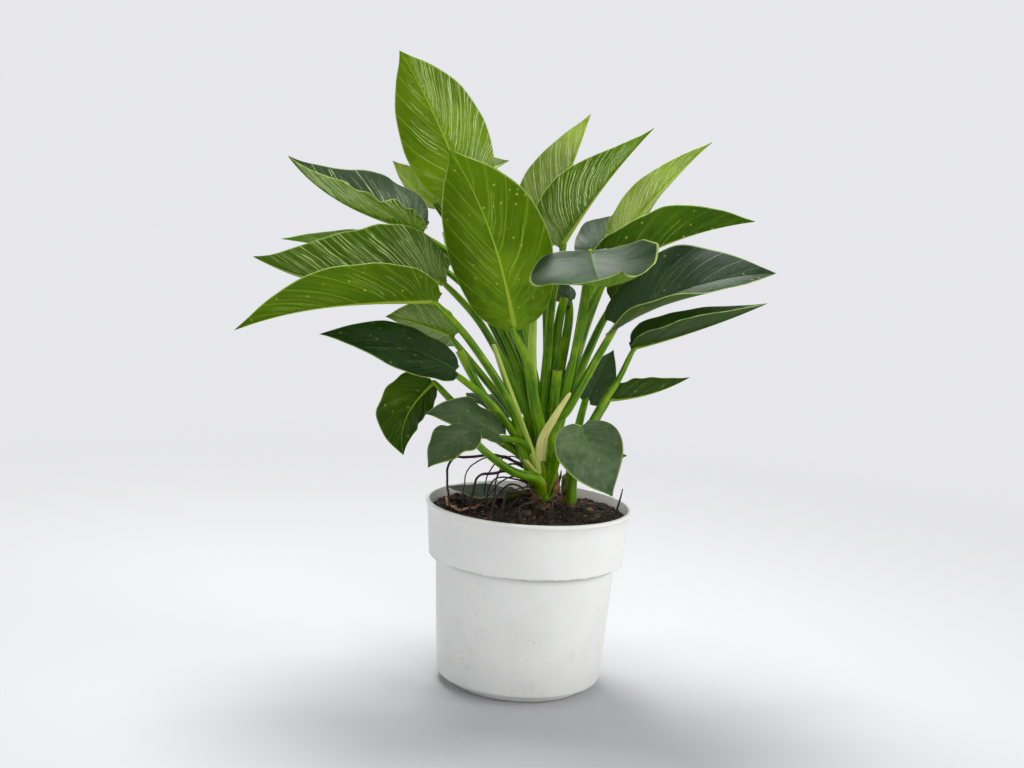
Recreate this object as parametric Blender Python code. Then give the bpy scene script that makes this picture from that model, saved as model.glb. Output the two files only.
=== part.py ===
# Philodendron birkin in a round white nursery pot.
# Lengths in the tables are millimetres, and MM turns them into metres. +Z is up.
# The origin is the centre of the pot's flat base.

import math

import bmesh
import bpy
from mathutils import Quaternion, Vector, noise
from mathutils.bvhtree import BVHTree

MM = 0.001

# Pot
POT_HEIGHT = 152.0
RIM_RADIUS = 85.0
BAND_BOTTOM_RADIUS = 80.2
BAND_HEIGHT = 44.0
BODY_TOP_RADIUS = 74.0
BODY_BOTTOM_RADIUS = 68.0
STEP_HEIGHT = 4.0
FOOT_RADIUS = 56.0
FOOT_HEIGHT = 7.5
WALL = 1.8
FLOOR = 3.0
RIM_BEAD = 1.4
POT_SIDES = 40
DRAIN_HOLES = 6
DRAIN_RADIUS = 5.0
DRAIN_CIRCLE = 36.0

# Soil
GAP = 0.3
SOIL_CLEAR = 0.6
SOIL_EDGE = 141.0
SOIL_MOUND = 9.0
SOIL_LUMP = 2.2
SOIL_RINGS = 8
SOIL_SIDES = 32
HOLE_SIDES = 12
CROWN_RINGS = 7

# Leaf blade, as shares of its length: along the midrib, and out from it
OUTLINE = (
    (-0.10, 0.09),
    (-0.05, 0.21),
    (0.10, 0.305),
    (0.32, 0.335),
    (0.57, 0.275),
    (0.78, 0.155),
    (0.92, 0.050),
    (1.00, 0.0),
)
VEIN_STARTS = (0.0, 0.015, 0.06, 0.17, 0.36, 0.60, 0.82, 1.0)
OUTLINE_WIDTH = 0.67
HEART_END = 0.12
SHOULDER = 0.35
SHOULDER_END = 0.35
BLADE_ROWS = 10
HALF_COLUMNS = 3
BLADE_THICK = 0.9
MIDRIB_THICK = 2.6

# Leaf stalks
STALK_SIDES = 6
STALK_RINGS = 8
STALK_TOP = 3.2
STALK_FOOT = 5.6
STALK_END = 2.2
STALK_CLEAR = 0.5
STALK_ROOTED = 24.0
STALK_SPREAD = 4.5
STUB_RINGS = 9
STALK_FLATTEN = 0.85

GREEN = (0.035, 0.11, 0.035)
BRIGHT_GREEN = (0.13, 0.30, 0.035)
PALE_GREEN = (0.32, 0.47, 0.10)
DARK_GREEN = (0.018, 0.06, 0.035)
STALK_GREEN = (0.10, 0.24, 0.03)
POT_WHITE = (0.80, 0.81, 0.82)
SOIL_BROWN = (0.030, 0.020, 0.014)
ROOT_BROWN = (0.055, 0.030, 0.018)
DRY_BROWN = (0.28, 0.16, 0.07)

# Each blade: where it meets its stalk, its tip, the way its upper side faces, its width,
# bow of the midrib (towards the upper side, towards the right) at one and two thirds,
# fold and curl of the left and right halves in degrees, twist in degrees,
# wave (height, count, phase), how far the lobes reach behind the stalk's end (heart),
# how much narrower it grows towards the tip (slim), the stalk's route from the crown,
# and how thick its foot is beside the others (thick).
BLADES = {
    "leaf_top": dict(
        base=(-64, 5, 396), tip=(-121, -55, 507), face=(0.00, 0.90, 0.42), width=78,
        bow=(10, 0, 12, 0), fold=(34, 8), curl=(8, 8), wave=(1.5, 2.0, 0.0), heart=0.5,
        stalk=((4, 2, 200), (-8, 6, 260), (-30, 8, 330)), tone=BRIGHT_GREEN,
    ),
    "leaf_front": dict(
        base=(-20, -45, 298), tip=(-75, -115, 435), face=(0.10, 0.90, 0.40), width=80,
        bow=(10, -4, 12, -4), fold=(22, 10), curl=(10, 10), wave=(1.0, 1.5, 1.0), heart=0.5,
        stalk=((7, -22, 207), (-1, -32, 241), (-9, -40, 274)), thick=1.3, slim=-0.32, tone=BRIGHT_GREEN,
    ),
    "leaf_top_behind": dict(
        base=(-94, 84, 405), tip=(-36, 90, 429), face=(-0.2, -0.6, 0.8), width=46,
        fold=(20, 20), curl=(0, 0), wave=(1.0, 2.0, 0.5),
        stalk=((2, 12, 210), (-26, 40, 290), (-70, 72, 366)), tone=GREEN,
    ),
    "leaf_left_upper": dict(
        base=(-101, 25, 367), tip=(-216, 25, 422), face=(0.30, 0.10, 0.90), width=86,
        bow=(-8, 0, -12, 0), fold=(24, 62), curl=(-6, -10), wave=(2.0, 2.0, 0.0), heart=0.6,
        stalk=((0, 6, 215), (-25, 12, 280), (-66, 20, 340)), tone=DARK_GREEN,
    ),
    "leaf_young": dict(
        base=(-91, 56, 387), tip=(-133, 58, 423), face=(0.3, 0.8, 0.4), width=36,
        bow=(-4, 0, -4, 0), fold=(20, 20), curl=(20, 20), wave=(0.5, 2.0, 0.0), heart=0.5,
        stalk=((2, 10, 215), (-22, 26, 290), (-62, 48, 350)), tone=PALE_GREEN,
    ),
    "leaf_left_middle_behind": dict(
        base=(-80, 30, 338), tip=(-220, 34, 353), face=(0.05, -0.1, 0.99), width=74,
        bow=(2, 0, 2, 0), fold=(42, 25), curl=(-10, -10), wave=(1.5, 2.0, 1.0), heart=0.6,
        stalk=((0, 4, 210), (-20, 14, 260), (-52, 26, 312)), tone=GREEN,
    ),
    "leaf_left_long": dict(
        base=(-78, -12, 330), tip=(-230, -36, 342), face=(0.10, 0.60, 0.80), width=104,
        bow=(-12, 0, -14, 0), fold=(42, 26), curl=(6, 0), wave=(2.0, 1.5, 0.0), heart=0.6,
        stalk=((3, -8, 205), (-18, -10, 250), (-48, -10, 298)), tone=BRIGHT_GREEN,
    ),
    "leaf_left_front": dict(
        base=(-81, -58, 318), tip=(-232, -90, 289), face=(-0.15, 0.10, 0.97), width=72,
        bow=(5, 0, 9, 0), fold=(50, 26), curl=(0, 0), twist=-25, wave=(1.0, 2.0, 0.0),
        heart=0.6, stalk=((-9, -24, 206), (-20, -34, 239), (-54, -50, 288)), tone=BRIGHT_GREEN,
    ),
    "leaf_left_hidden": dict(
        base=(-70, 6, 284), tip=(-128, 14, 296), face=(0.30, 0.60, 0.70), width=58,
        bow=(2, 0, 4, 0), fold=(10, 10), curl=(0, 0), wave=(1.0, 2.0, 0.0), heart=0.8,
        stalk=((3, -6, 200), (-20, -4, 228), (-50, 2, 260)), tone=GREEN,
    ),
    "leaf_left_dark": dict(
        base=(-64, -50, 264), tip=(-170, -70, 288), face=(0.10, -0.45, 0.88), width=56,
        bow=(9, 0, 8, 0), fold=(4, 14), curl=(-20, -20), wave=(1.5, 1.5, 0.6), heart=0.6,
        stalk=((-6, -18, 195), (-19, -30, 219), (-40, -42, 243)), tone=DARK_GREEN,
    ),
    "leaf_left_drooping": dict(
        base=(-83, -20, 249), tip=(-103, -30, 190), face=(-0.70, 0.70, 0.10), width=46,
        bow=(5, -5, 6, -9), fold=(20, 10), curl=(10, 10), wave=(1.5, 2.0, 0.0), heart=0.5,
        stalk=((-6, -8, 190), (-30, -12, 206), (-62, -16, 230)), slim=-0.5, tone=GREEN,
    ),
    "leaf_small_twisted": dict(
        base=(-28, -36, 213), tip=(-86, -56, 229), face=(0.05, -0.45, 0.88), width=38,
        bow=(4, 3, 6, 3), fold=(10, 15), curl=(-20, -10), twist=25, wave=(2.5, 2.0, 0.0),
        stalk=((10, -20, 184), (2, -26, 198), (-10, -31, 208)), tone=DARK_GREEN,
    ),
    "leaf_small_heart": dict(
        base=(-50, -82, 222), tip=(-78, -105, 196), face=(-0.35, -0.65, 0.65), width=40,
        bow=(3, 0, 3, 0), fold=(8, 8), curl=(-10, -10), wave=(2.5, 2.0, 2.0),
        stalk=((6, -30, 178), (-14, -56, 188), (-36, -76, 206)), tone=DARK_GREEN,
    ),
    "leaf_on_soil": dict(
        base=(-19, 5, 157), tip=(-70, 25, 155), face=(0.0, -0.1, 1.0), width=38,
        fold=(5, 5), curl=(-10, -10), wave=(1.0, 2.0, 0.0),
        stalk=((2, -4, 160), (-6, -2, 160)), tone=GREEN,
    ),
    "leaf_right_heart": dict(
        base=(37, -60, 228), tip=(64, -85, 179), face=(0.10, -0.90, 0.38), width=54,
        bow=(4, 2, 4, 2), fold=(8, 8), curl=(-10, -10), wave=(1.5, 2.0, 0.0), heart=0.8,
        stalk=((18, -24, 190), (22, -38, 210), (28, -50, 224)), tone=DARK_GREEN,
    ),
    "leaf_right_tiny": dict(
        base=(56, -14, 194), tip=(77, -20, 200), face=(0.0, -0.5, 0.85), width=16,
        fold=(10, 10), wave=(0.5, 2.0, 0.0),
        stalk=((36, 0, 178), (46, -8, 187)), crown="side", tone=BRIGHT_GREEN,
    ),
    "leaf_right_back_pale": dict(
        base=(-5, 30, 357), tip=(30, 60, 472), face=(-0.62, 0.70, 0.20), width=70,
        bow=(-2, 2, -4, 4), fold=(42, 42), curl=(5, 5), wave=(1.0, 2.0, 0.0), heart=0.5,
        stalk=((9, 8, 210), (8, 14, 270), (3, 22, 320)), tone=PALE_GREEN,
    ),
    "leaf_right_striped": dict(
        base=(12, 0, 362), tip=(81, 15, 463), face=(-0.56, 0.70, 0.43), width=92,
        bow=(4, 0, 5, 0), fold=(45, 45), curl=(-4, -4), wave=(1.5, 2.0, 0.0), heart=0.5,
        stalk=((6, -4, 220), (7, -2, 270), (8, 0, 320)), twist=-30, slim=0.6, tone=BRIGHT_GREEN,
    ),
    "leaf_right_pale": dict(
        base=(59, 46, 364), tip=(135, 75, 456), face=(-0.30, 0.72, 0.60), width=48,
        bow=(6, 0, 7, 0), fold=(22, 24), curl=(0, 0), wave=(1.0, 2.0, 1.0), heart=0.8,
        stalk=((14, 10, 210), (30, 27, 270), (46, 41, 324)), twist=-15, slim=0.2, tone=PALE_GREEN,
    ),
    "leaf_right_upper": dict(
        base=(50, 2, 344), tip=(169, 20, 393), face=(-0.20, 0.20, 0.95), width=76,
        bow=(6, 0, 7, 0), fold=(20, 46), curl=(-6, -6), wave=(1.5, 2.0, 0.0), heart=1.0,
        stalk=((16, 0, 210), (26, 0, 260), (36, 0, 308)), tone=GREEN,
    ),
    "leaf_front_curled": dict(
        base=(35, -42, 364), tip=(56, -150, 357), face=(0.10, -0.15, 0.98), width=106,
        bow=(-13, 0, -18, 0), fold=(14, -4), curl=(46, -10), wave=(3.0, 1.5, 0.0), heart=0.5,
        stalk=((19, -16, 214), (27, -27, 262), (33, -36, 322)), tone=DARK_GREEN,
    ),
    "leaf_right_dark": dict(
        base=(58, -40, 308), tip=(178, -60, 357), face=(-0.30, -0.60, 0.74), width=76,
        bow=(10, 0, 12, 0), fold=(14, 10), curl=(-10, 58), wave=(5.0, 1.0, -1.2), heart=0.8,
        stalk=((17, -20, 219), (27, -25, 237), (46, -35, 279)), slim=-0.3, tone=DARK_GREEN,
    ),
    "leaf_right_folded": dict(
        base=(74, -10, 286), tip=(182, 0, 329), face=(-0.35, 0.10, 0.93), width=64,
        bow=(-2, 0, -2, 0), fold=(42, 24), curl=(0, 0), wave=(1.0, 2.0, 0.0), heart=0.5,
        stalk=((34, 2, 186), (49, -8, 229), (65, -10, 259)), crown="side", slim=0.25, tone=DARK_GREEN,
    ),
    "leaf_right_rolled": dict(
        base=(58, 10, 240), tip=(126, 20, 262), face=(-0.30, 0.50, 0.80), width=30,
        bow=(-4, 0, -4, 0), fold=(40, 45), curl=(20, 20), wave=(0.5, 2.0, 0.0), heart=0.7,
        stalk=((36, 8, 186), (48, 10, 216)), crown="side", tone=DARK_GREEN,
    ),
    "leaf_right_small_behind": dict(
        base=(44, 42, 236), tip=(63, 50, 277), face=(0.50, -0.60, 0.30), width=34,
        fold=(12, 12), wave=(1.0, 2.0, 0.0),
        stalk=((34, 16, 190), (38, 32, 216)), crown="side", tone=DARK_GREEN,
    ),
    "leaf_right_inner": dict(
        base=(57, 10, 322), tip=(90, -4, 348), face=(-0.40, 0.50, 0.70), width=34,
        fold=(30, 30), curl=(0, 0), wave=(1.0, 2.0, 0.0), heart=0.5,
        stalk=((18, -2, 210), (32, 4, 255), (47, 8, 297)), tone=GREEN,
    ),
    "leaf_middle_pale": dict(
        base=(24, 50, 316), tip=(-4, 53, 332), face=(0.20, -0.5, 0.80), width=30,
        fold=(10, 10), curl=(0, 0), wave=(1.0, 2.0, 0.0), heart=0.8,
        stalk=((12, 8, 210), (18, 24, 256), (23, 40, 296)), tone=PALE_GREEN,
    ),
    "leaf_back_left": dict(
        base=(-36, 88, 322), tip=(-90, 175, 360), face=(0.30, -0.40, 0.85), width=84,
        bow=(8, 0, 6, 0), fold=(18, 18), curl=(-10, -10), wave=(2.0, 2.0, 0.0), heart=0.8,
        stalk=((0, 14, 200), (-10, 40, 250), (-26, 70, 296)), tone=DARK_GREEN,
    ),
    "leaf_back_right": dict(
        base=(45, 105, 346), tip=(66, 160, 387), face=(-0.30, -0.70, 0.60), width=50,
        bow=(8, 0, 4, 0), fold=(20, 20), curl=(-10, -10), wave=(2.0, 2.0, 1.0), heart=0.8,
        stalk=((16, 18, 200), (28, 54, 250), (42, 90, 306)), tone=GREEN,
    ),
    "leaf_back_high": dict(
        base=(-20, 72, 352), tip=(-36, 150, 404), face=(0.10, -0.60, 0.75), width=80,
        bow=(8, 0, 6, 0), fold=(16, 16), curl=(0, 0), wave=(1.5, 2.0, 2.0), heart=0.7,
        stalk=((8, 14, 210), (-8, 36, 270), (-18, 58, 322)), tone=GREEN,
    ),
    "leaf_back_low": dict(
        base=(-16, 70, 214), tip=(-52, 138, 212), face=(0.05, -0.30, 0.95), width=66,
        bow=(10, 0, 8, 0), fold=(14, 14), curl=(-15, -15), wave=(2.0, 2.0, 0.0), heart=0.9,
        stalk=((4, 10, 184), (-2, 34, 196), (-9, 56, 208)), tone=DARK_GREEN,
    ),
}

# Crowns: each is a short thick stem that stands in the soil
CROWNS = {
    "main": dict(foot=(12, -6, 118), top=(11, -8, 184), radius=(8.5, 9.5)),
    "side": dict(foot=(33, 6, 122), top=(32, 5, 178), radius=(5.5, 6.5)),
}

# Shoots and cut stalks that carry no blade: route, radii along it, and how flat they are
STUBS = {
    "rolled_new_leaf": dict(
        route=((5, -8, 206), (-1, -8, 238), (-5, -8, 271), (-6, -8, 304), (-8, -8, 334)),
        radii=(5.4, 5.6, 6.0, 5.6, 4.0, 1.2), flat=0.75,
    ),
    "pale_sheath": dict(
        route=((1, -26, 195), (-11, -33, 225), (-23, -35, 253), (-36, -38, 285)),
        radii=(5.0, 4.6, 4.4, 4.2, 3.2), flat=0.5,
    ),
    "cut_stalk_left": dict(
        route=((-7, -14, 206), (-26, -12, 222), (-42, -10, 240), (-54, -10, 258), (-64, -10, 275)),
        radii=(4.8, 4.6, 4.4, 4.4), flat=0.8,
    ),
    "cut_stalk_middle": dict(
        route=((10, 2, 221), (12, 4, 262), (15, 6, 304), (18, 7, 322)),
        radii=(5.0, 4.6, 4.0, 3.6), flat=0.85,
    ),
    "cut_stalk_brown": dict(
        route=((12, -6, 206), (15, -8, 239), (16, -8, 264)),
        radii=(5.2, 5.4, 5.0, 4.6), flat=0.85,
    ),
    "yellow_sheath": dict(
        route=((7, -30, 205), (15, -36, 228), (27, -40, 251)),
        radii=(5.0, 5.2, 4.8, 3.0), flat=0.5,
    ),
    "small_sheath": dict(
        route=((5, -22, 178), (-5, -32, 193)),
        radii=(3.6, 3.6, 2.6), flat=0.6,
    ),
}

# Aerial roots: angle and height where each leaves the main crown, then its route to the soil
ROOTS = {
    "root_1": ((148, 175), ((-12, 2, 184), (-28, 0, 189), (-50, -6, 188), (-64, -12, 186),
                            (-68, -18, 172), (-62, -20, 0))),
    "root_2": ((228, 161), ((-12, -32, 167), (-26, -40, 163), (-33, -42, 0))),
    "root_3": ((176, 166), ((-16, -3, 177), (-28, -9, 176), (-44, -4, 169), (-48, -18, 0))),
    "root_4": ((246, 157), ((1, -31, 158), (-7, -37, 155), (-5, -43, 0))),
    "root_5": ((205, 158), ((-10, -18, 163), (-19, -26, 160), (-21, -32, 0))),
}
ROOT_RADIUS = 1.2
ROOT_CLEAR = 1.2
ROOT_SEAT = 3.7

# Things lying on the soil
TWIG = ((72, 8, 142.5), (75, 10, 155), (77, 11, 166))
TWIG_RADIUS = 0.9
DRY_LEAF = ((-70, 20), (-62, -8), (-44, -6), (-30, 6))
DRY_WIDTH = 6.0
DRY_THICK = 1.0


def clear_scene():
    for item in list(bpy.data.objects):
        bpy.data.objects.remove(item, do_unlink=True)


def plain_material(name, colour, roughness):
    material = bpy.data.materials.new(name)
    material.use_nodes = True
    shader = material.node_tree.nodes["Principled BSDF"]
    shader.inputs["Base Color"].default_value = (*colour, 1.0)
    shader.inputs["Roughness"].default_value = roughness
    shader.inputs["Metallic"].default_value = 0.0
    return material


def solid(name, mesh, material):
    made = bpy.data.objects.new(name, mesh)
    mesh.materials.append(material)
    mesh.shade_smooth()
    mesh.set_sharp_from_angle(angle=math.radians(35))
    bpy.context.scene.collection.objects.link(made)
    return made


def mesh_from(name, points, faces):
    mesh = bpy.data.meshes.new(name)
    mesh.from_pydata([Vector(point) * MM for point in points], [], faces)
    mesh.validate()
    return mesh


def turned_mesh(name, profile, sides):
    """Spins a profile of (radius, height) pairs, which starts and ends on the axis."""
    shape = bmesh.new()
    points = [shape.verts.new((radius * MM, 0.0, height * MM)) for radius, height in profile]
    edges = [shape.edges.new(pair) for pair in zip(points, points[1:])]
    bmesh.ops.spin(
        shape, geom=points + edges, cent=(0, 0, 0), axis=(0, 0, 1),
        angle=math.tau, steps=sides, use_merge=True,
    )
    bmesh.ops.remove_doubles(shape, verts=shape.verts, dist=0.00001)
    bmesh.ops.recalc_face_normals(shape, faces=shape.faces)
    mesh = bpy.data.meshes.new(name)
    shape.to_mesh(mesh)
    shape.free()
    return mesh


def smooth_path(points, count):
    """Points evenly spaced in parameter on a Catmull-Rom curve through the given ones."""
    knots = [Vector(point) for point in points]
    knots = [knots[0] * 2 - knots[1]] + knots + [knots[-1] * 2 - knots[-2]]
    spans = len(knots) - 3
    path = []
    for step in range(count):
        place = spans * step / (count - 1)
        span = min(int(place), spans - 1)
        t = place - span
        a, b, c, d = knots[span:span + 4]
        path.append(
            0.5 * ((2 * b) + (c - a) * t + (2 * a - 5 * b + 4 * c - d) * t * t
                   + (3 * b - a - 3 * c + d) * t * t * t)
        )
    return path


def bezier(a, b, c, d, t):
    u = 1 - t
    return a * u ** 3 + b * 3 * u * u * t + c * 3 * u * t * t + d * t ** 3


def tube_mesh(name, path, radii, sides, flatten=1.0):
    """A closed tube along the path, narrower across one way if flatten is under 1."""
    points = []
    faces = []
    side_way = Vector((0, 0, 1)).cross(path[-1] - path[0])
    if side_way.length < 0.001:
        side_way = Vector((1, 0, 0))
    side_way.normalize()
    for index, centre in enumerate(path):
        before = path[max(index - 1, 0)]
        after = path[min(index + 1, len(path) - 1)]
        along = (after - before).normalized()
        side_way = (side_way - along * side_way.dot(along)).normalized()
        other_way = along.cross(side_way)
        for side in range(sides):
            angle = math.tau * side / sides
            offset = side_way * math.cos(angle) + other_way * math.sin(angle) * flatten
            points.append(centre + offset * radii[index])
    for ring in range(len(path) - 1):
        for side in range(sides):
            near = ring * sides
            far = near + sides
            after = (side + 1) % sides
            faces.append((near + side, near + after, far + after, far + side))
    faces.append(tuple(reversed(range(sides))))
    faces.append(tuple(range(len(points) - sides, len(points))))
    return mesh_from(name, points, faces)


def outline_at(share):
    """The blade's margin and the midrib start of the vein that ends there."""
    margin = smooth_path([(x, y, start) for (x, y), start in zip(OUTLINE, VEIN_STARTS)], 1001)
    return margin[round(share * 1000)]


MARGIN = [outline_at(row / BLADE_ROWS) for row in range(BLADE_ROWS + 1)]


def flat_point(margin, out):
    """A point of the flat blade on a side vein, out being 0 at the midrib and 1 at the margin."""
    x_end, y_end, x_start = margin
    bend_x = x_start + 0.30 * (x_end - x_start)
    bend_y = 0.55 * y_end
    x = x_start * (1 - out) ** 2 + bend_x * 2 * out * (1 - out) + x_end * out * out
    y = bend_y * 2 * out * (1 - out) + y_end * out * out
    return x, y


class BladeShape:
    """Places flat blade points in space along the arched, folded, curled and twisted midrib."""

    def __init__(self, base, tip, face, width, bow=(0, 0, 0, 0), fold=(10, 10),
                 curl=(0, 0), twist=0, wave=(0, 1, 0), heart=1.0, slim=0, stalk=(),
                 thick=1, tone=GREEN, crown="main"):
        self.start = Vector(base)
        self.end = Vector(tip)
        self.length = (self.end - self.start).length
        self.half_width = width / 2
        along = (self.end - self.start).normalized()
        up = Vector(face)
        up = (up - along * up.dot(along)).normalized()
        right = along.cross(up)
        self.up = up
        third = self.start.lerp(self.end, 1 / 3)
        two_thirds = self.start.lerp(self.end, 2 / 3)
        self.first = third + up * bow[0] * 1.5 + right * bow[1] * 1.5
        self.second = two_thirds + up * bow[2] * 1.5 + right * bow[3] * 1.5
        self.fold = [math.radians(angle) for angle in fold]
        self.curl = [math.radians(angle) for angle in curl]
        self.twist = math.radians(twist)
        self.wave = wave
        self.heart = heart
        self.slim = slim

    def midrib(self, x):
        if x < 0:
            return self.start + (self.first - self.start) * 3 * x
        return bezier(self.start, self.first, self.second, self.end, x)

    def frame(self, x):
        x = min(max(x, 0.0), 0.98)
        along = (self.midrib(x + 0.01) - self.midrib(x)).normalized()
        up = (self.up - along * self.up.dot(along)).normalized()
        right = along.cross(up)
        turn = self.twist * x
        return up * math.cos(turn) - right * math.sin(turn), right * math.cos(turn) + up * math.sin(turn)

    def place(self, x, y, side):
        """x and y are shares of the length, side is 0 for the left half and 1 for the right."""
        if x < HEART_END:
            x = HEART_END + (x - HEART_END) * (self.heart + (1 - self.heart) * (1 - min(y / 0.1, 1)))
        up, right = self.frame(x)
        y *= 1 - SHOULDER * (1 - self.heart) * max(0.0, 1 - x / SHOULDER_END)
        y *= 1 - self.slim * max(x, 0.0)
        out = y / OUTLINE_WIDTH * 2 * self.half_width
        share = out / self.half_width
        fold = self.fold[side]
        curl = self.curl[side]
        if abs(curl) < 0.01:
            across = out * math.cos(fold)
            rise = out * math.sin(fold)
        else:
            radius = self.half_width / curl
            across = radius * (math.sin(fold + curl * share) - math.sin(fold))
            rise = -radius * (math.cos(fold + curl * share) - math.cos(fold))
        height, count, phase = self.wave
        rise += height * share ** 2 * math.sin(math.tau * count * x + phase + side * 1.7)
        return self.midrib(x) + right * across * (2 * side - 1) + up * rise


def blade_grid(shape):
    """Rows of points from the left margin over the midrib to the right margin, then the tip."""
    rows = []
    for margin in MARGIN[:-1]:
        left = [flat_point(margin, step / HALF_COLUMNS) for step in range(HALF_COLUMNS, 0, -1)]
        right = [flat_point(margin, step / HALF_COLUMNS) for step in range(HALF_COLUMNS + 1)]
        row = [shape.place(x, y, 0) for x, y in left]
        row += [shape.place(x, y, 1) for x, y in right]
        rows.append(row)
    return rows, shape.midrib(1.0)


def blade_thickness(row, column):
    """Half of the blade's thickness above the middle surface and below it."""
    from_midrib = abs(column - HALF_COLUMNS)
    if from_midrib:
        return BLADE_THICK / 2, BLADE_THICK / 2
    swell = (MIDRIB_THICK - BLADE_THICK) * (1 - row / BLADE_ROWS)
    return BLADE_THICK / 2, BLADE_THICK / 2 + swell


def blade_mesh(name, shape):
    rows, tip = blade_grid(shape)
    width = 2 * HALF_COLUMNS + 1
    middle = [point for row in rows for point in row] + [tip]
    tip_index = len(middle) - 1
    upper = []
    for row in range(len(rows) - 1):
        for column in range(width - 1):
            a = row * width + column
            b = a + width
            if column < HALF_COLUMNS:
                upper += [(a, a + 1, b), (a + 1, b + 1, b)]
            else:
                upper += [(a, a + 1, b + 1), (a, b + 1, b)]
    last = (len(rows) - 1) * width
    upper += [(last + column, last + column + 1, tip_index) for column in range(width - 1)]
    normals = [Vector((0, 0, 0)) for _ in middle]
    for a, b, c in upper:
        normal = (middle[b] - middle[a]).cross(middle[c] - middle[a])
        for corner in (a, b, c):
            normals[corner] += normal
    if normals[HALF_COLUMNS + 4 * width].dot(shape.up) < 0:
        normals = [-normal for normal in normals]
    top = []
    bottom = []
    for index, point in enumerate(middle):
        row, column = divmod(index, width)
        over, under = blade_thickness(row, column)
        way = normals[index].normalized()
        top.append(point + way * over)
        bottom.append(point - way * under)
    edge = list(range(width))
    edge += [row * width + width - 1 for row in range(1, len(rows))]
    edge += [tip_index]
    edge += [row * width for row in range(len(rows) - 1, 0, -1)]
    count = len(middle)
    faces = list(upper)
    faces += [(c + count, b + count, a + count) for a, b, c in upper]
    for near, far in zip(edge, edge[1:] + edge[:1]):
        faces.append((near, near + count, far))
        faces.append((far, near + count, far + count))
    mesh = mesh_from(name, top + bottom, faces)
    outward(mesh)
    return mesh


def outward(mesh):
    shape = bmesh.new()
    shape.from_mesh(mesh)
    bmesh.ops.recalc_face_normals(shape, faces=shape.faces)
    if shape.calc_volume(signed=True) < 0:
        bmesh.ops.reverse_faces(shape, faces=shape.faces)
    shape.to_mesh(mesh)
    shape.free()


def soil_height(x, y):
    """Height of the soil's top, mounded towards the crown and lumpy."""
    spread = math.hypot(x - 10, y - 5) / 62
    mound = SOIL_MOUND * max(0.0, 1 - spread * spread)
    lump = noise.noise(Vector((x / 14, y / 14, 0.0)))
    return SOIL_EDGE + mound + SOIL_LUMP * lump


def inner_radius(height):
    """Radius of the pot's inside at a height."""
    step = POT_HEIGHT - BAND_HEIGHT - STEP_HEIGHT
    if height < step:
        share = (height - FOOT_HEIGHT) / (step - FOOT_HEIGHT)
        return BODY_BOTTOM_RADIUS + (BODY_TOP_RADIUS - BODY_BOTTOM_RADIUS) * share - WALL
    share = (height - step - STEP_HEIGHT) / BAND_HEIGHT
    return BAND_BOTTOM_RADIUS + (RIM_RADIUS - RIM_BEAD - BAND_BOTTOM_RADIUS) * max(share, 0) - WALL


def pot_mesh():
    step = POT_HEIGHT - BAND_HEIGHT - STEP_HEIGHT
    band = POT_HEIGHT - BAND_HEIGHT
    bead = RIM_RADIUS - RIM_BEAD
    profile = [
        (0, 0),
        (FOOT_RADIUS - 1, 0),
        (FOOT_RADIUS, 1),
        (FOOT_RADIUS + 1, FOOT_HEIGHT - 3),
        (BODY_BOTTOM_RADIUS - 3, FOOT_HEIGHT - 1),
        (BODY_BOTTOM_RADIUS, FOOT_HEIGHT + 2),
        (BODY_TOP_RADIUS, step),
        (BAND_BOTTOM_RADIUS - 1, band - 1),
        (BAND_BOTTOM_RADIUS, band + 1),
        (bead, POT_HEIGHT - 3.6),
        (RIM_RADIUS, POT_HEIGHT - 1.6),
        (RIM_RADIUS - 1.4, POT_HEIGHT),
        (bead - WALL + 0.6, POT_HEIGHT),
        (bead - WALL, POT_HEIGHT - 0.8),
        (inner_radius(band), band),
        (inner_radius(step - 0.01), step + 1),
        (inner_radius(FOOT_HEIGHT + 3), FOOT_HEIGHT + 3),
        (FOOT_RADIUS - WALL, FOOT_HEIGHT),
        (FOOT_RADIUS - WALL - 1, FLOOR),
        (0, FLOOR),
    ]
    return turned_mesh("pot", profile, POT_SIDES)


def make_pot():
    pot = solid("pot", pot_mesh(), plain_material("pot_white", POT_WHITE, 0.45))
    cutters = []
    for hole in range(DRAIN_HOLES):
        angle = math.tau * hole / DRAIN_HOLES
        shape = bmesh.new()
        bmesh.ops.create_cone(
            shape, cap_ends=True, segments=12, radius1=DRAIN_RADIUS * MM,
            radius2=DRAIN_RADIUS * MM, depth=FLOOR * 4 * MM,
        )
        mesh = bpy.data.meshes.new("drain_cutter")
        shape.to_mesh(mesh)
        shape.free()
        cutter = bpy.data.objects.new("drain_cutter", mesh)
        cutter.location = (
            DRAIN_CIRCLE * MM * math.cos(angle), DRAIN_CIRCLE * MM * math.sin(angle), 0
        )
        bpy.context.scene.collection.objects.link(cutter)
        cutters.append(cutter)
    bpy.context.view_layer.update()
    cut_with(pot, cutters)


def join_bodies(name, bodies, material):
    """One Boolean union of all the bodies, which are removed once they are in it."""
    first = bodies[0]
    rest = bpy.data.collections.new(name + "_bodies")
    for item in bodies[1:]:
        rest.objects.link(item)
    modifier = first.modifiers.new("join", "BOOLEAN")
    modifier.operation = "UNION"
    modifier.operand_type = "COLLECTION"
    modifier.collection = rest
    modifier.solver = "MANIFOLD"
    bpy.context.view_layer.objects.active = first
    bpy.ops.object.modifier_apply(modifier=modifier.name)
    for item in bodies[1:]:
        bpy.data.objects.remove(item, do_unlink=True)
    bpy.data.collections.remove(rest)
    first.name = name
    first.data.materials.clear()
    first.data.materials.append(material)
    return first


def body(name, mesh):
    """A closed body that a Boolean takes in or away."""
    outward(mesh)
    made = bpy.data.objects.new(name, mesh)
    bpy.context.scene.collection.objects.link(made)
    return made


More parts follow.
